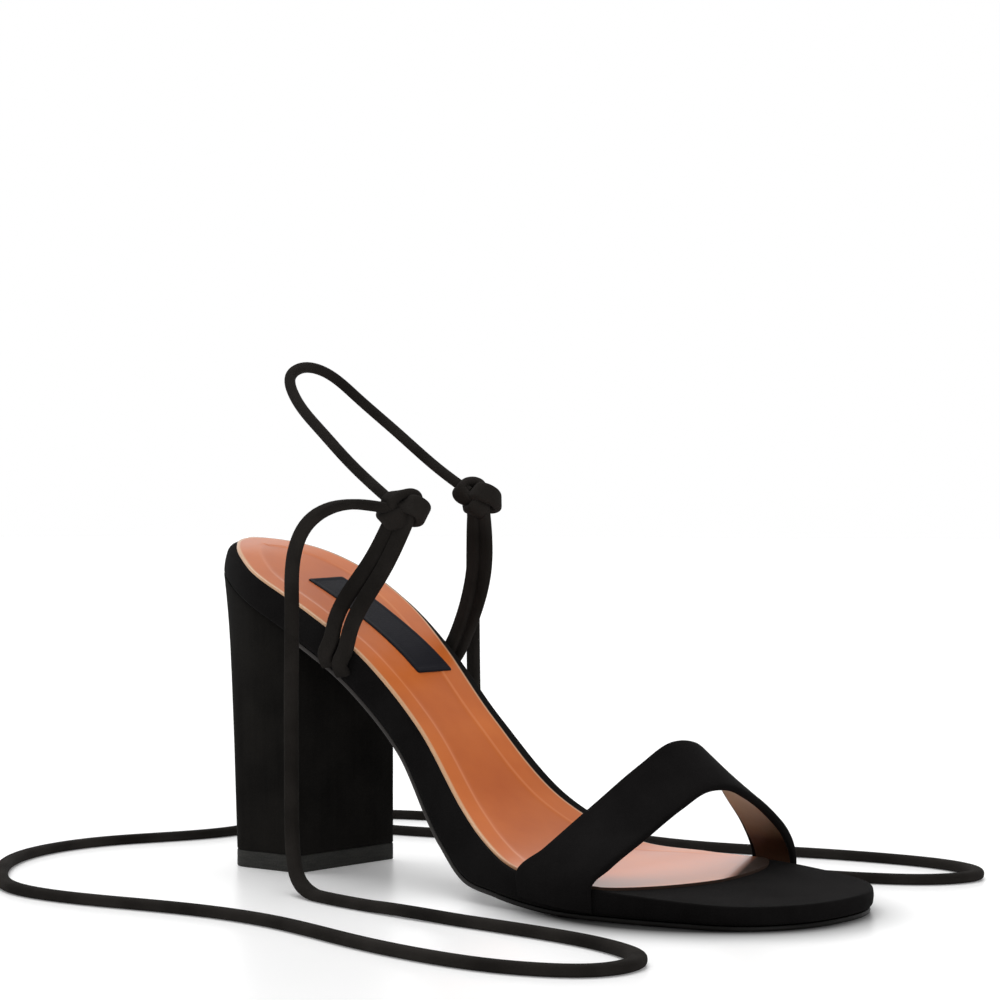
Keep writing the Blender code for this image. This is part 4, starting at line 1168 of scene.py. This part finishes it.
# Studio: a white sweep under soft light from the front left, a painted shadow darkening the floor
# softly round the tread, and the camera at the height of the ankle looking at the outer side and
# the toe.
CAMERA_PLACE = (0.45249, -0.56497, 0.10208)
CAMERA_TURN = 0.6816054751
CAMERA_PITCH = -0.0083196634
CAMERA_LENS = 92.656
CAMERA_SENSOR = 36.0
CAMERA_NEAREST = 0.01
FLOOR_REACH = 12.0
FLOOR_CORNERS = ((-1, -1), (1, -1), (1, 1), (-1, 1))
FLOOR_WHITES = ((0.84, 0.84, 0.84), (0.87, 0.87, 0.87))
FLOOR_GLOW = 0.15
# Painted shadow on the floor round the tread.
TREAD_CENTRE = (0.0625, -0.0045, 0.0)
TREAD_REACH = (0.0445, 0.041, 1.0)
TREAD_SHADOW_FADE = (0.95, 1.6)
TREAD_SHADOW_POWER = 2.0
TREAD_SHADOW_GREY = (0.05, 0.05, 0.05)
BRIGHT_SIDE = (-0.95, 0.25, 0.2)
BRIGHT_RANGE = (-0.6, 0.6)
DIM_SIDE = 0.4
SWEEP_TOP = (0.44, 0.56)
OVERHEAD = 0.3

camera_data = bpy.data.cameras.new("photo view")
camera_data.lens = CAMERA_LENS
camera_data.sensor_width = CAMERA_SENSOR
camera_data.clip_start = CAMERA_NEAREST
camera = bpy.data.objects.new("photo view", camera_data)
right = Vector((math.cos(CAMERA_TURN), math.sin(CAMERA_TURN), 0.0))
level = Vector((-math.sin(CAMERA_TURN), math.cos(CAMERA_TURN), 0.0))
upright = Vector((0.0, 0.0, 1.0))
forward = level * math.cos(CAMERA_PITCH) - upright * math.sin(CAMERA_PITCH)
upward = upright * math.cos(CAMERA_PITCH) + level * math.sin(CAMERA_PITCH)
aim = Matrix((right, upward, -forward)).transposed().to_4x4()
camera.matrix_world = Matrix.Translation(CAMERA_PLACE) @ aim
bpy.context.scene.collection.objects.link(camera)
bpy.context.scene.camera = camera

floor_white, tree, shader, where = new_material("white studio floor", 0.32, Specular_IOR_Level=0.5)
mottle = add_node(tree, "ShaderNodeTexNoise", Vector=where, Scale=14.0, Detail=3.0)
colour = mixed_colour(tree, mottle.outputs[0], *FLOOR_WHITES)
tread = add_node(tree, "ShaderNodeMapping", vector_type="TEXTURE", Vector=where,
                 Location=TREAD_CENTRE, Scale=TREAD_REACH)
away = add_node(tree, "ShaderNodeVectorMath", operation="LENGTH", Vector=tread.outputs["Vector"])
# Painted shadow: the floor darkens round the sole's tread and loses its glow there.
painted_tread_shadow = spread(tree, away.outputs["Value"], *TREAD_SHADOW_FADE, 1.0, 0.0)
painted_tread_shadow = math_node(tree, "POWER", painted_tread_shadow, TREAD_SHADOW_POWER)
colour = mixed_colour(tree, painted_tread_shadow, colour, TREAD_SHADOW_GREY)
tree.links.new(colour, shader.inputs["Base Color"])
shader.inputs["Emission Color"].default_value = (1.0, 1.0, 1.0, 1.0)
glowing = spread(tree, painted_tread_shadow, 0.0, 1.0, FLOOR_GLOW, 0.0)
tree.links.new(glowing, shader.inputs["Emission Strength"])
floor_mesh = bpy.data.meshes.new("studio_floor")
corners = [(x * FLOOR_REACH, y * FLOOR_REACH, 0.0) for x, y in FLOOR_CORNERS]
floor_mesh.from_pydata(corners, [], [(0, 1, 2, 3)])
floor_mesh.materials.append(floor_white)
floor = bpy.data.objects.new("studio_floor", floor_mesh)
bpy.context.scene.collection.objects.link(floor)

world = bpy.data.worlds.new("white studio")
bpy.context.scene.world = world
world.use_nodes = True
tree = world.node_tree
sky = tree.nodes["Background"]
sky.inputs["Color"].default_value = (1.0, 1.0, 1.0, 1.0)
way = tree.nodes.new("ShaderNodeTexCoord").outputs["Generated"]
glow = spread(tree, distance_along(tree, way, BRIGHT_SIDE), *BRIGHT_RANGE, DIM_SIDE, 1.0)
height = add_node(tree, "ShaderNodeSeparateXYZ", Vector=way).outputs["Z"]
glow = math_node(tree, "MULTIPLY", glow, spread(tree, height, *SWEEP_TOP, 1.0, OVERHEAD))
straight = tree.nodes.new("ShaderNodeLightPath").outputs["Is Camera Ray"]
seen = math_node(tree, "MAXIMUM", straight, glow)
tree.links.new(seen, sky.inputs["Strength"])

for name, energy, angle, heading in (
    ("soft key", 2.5, 50.0, (0.3, -0.15, -1.0)),
    ("front fill", 1.0, 50.0, (-0.8, 0.4, -0.32)),
):
    sun_data = bpy.data.lights.new(name, "SUN")
    sun_data.energy = energy
    sun_data.angle = math.radians(angle)
    sun = bpy.data.objects.new(name, sun_data)
    sun.rotation_euler = Vector(heading).to_track_quat("-Z", "Y").to_euler()
    bpy.context.scene.collection.objects.link(sun)

bpy.context.scene.view_settings.view_transform = "Standard"
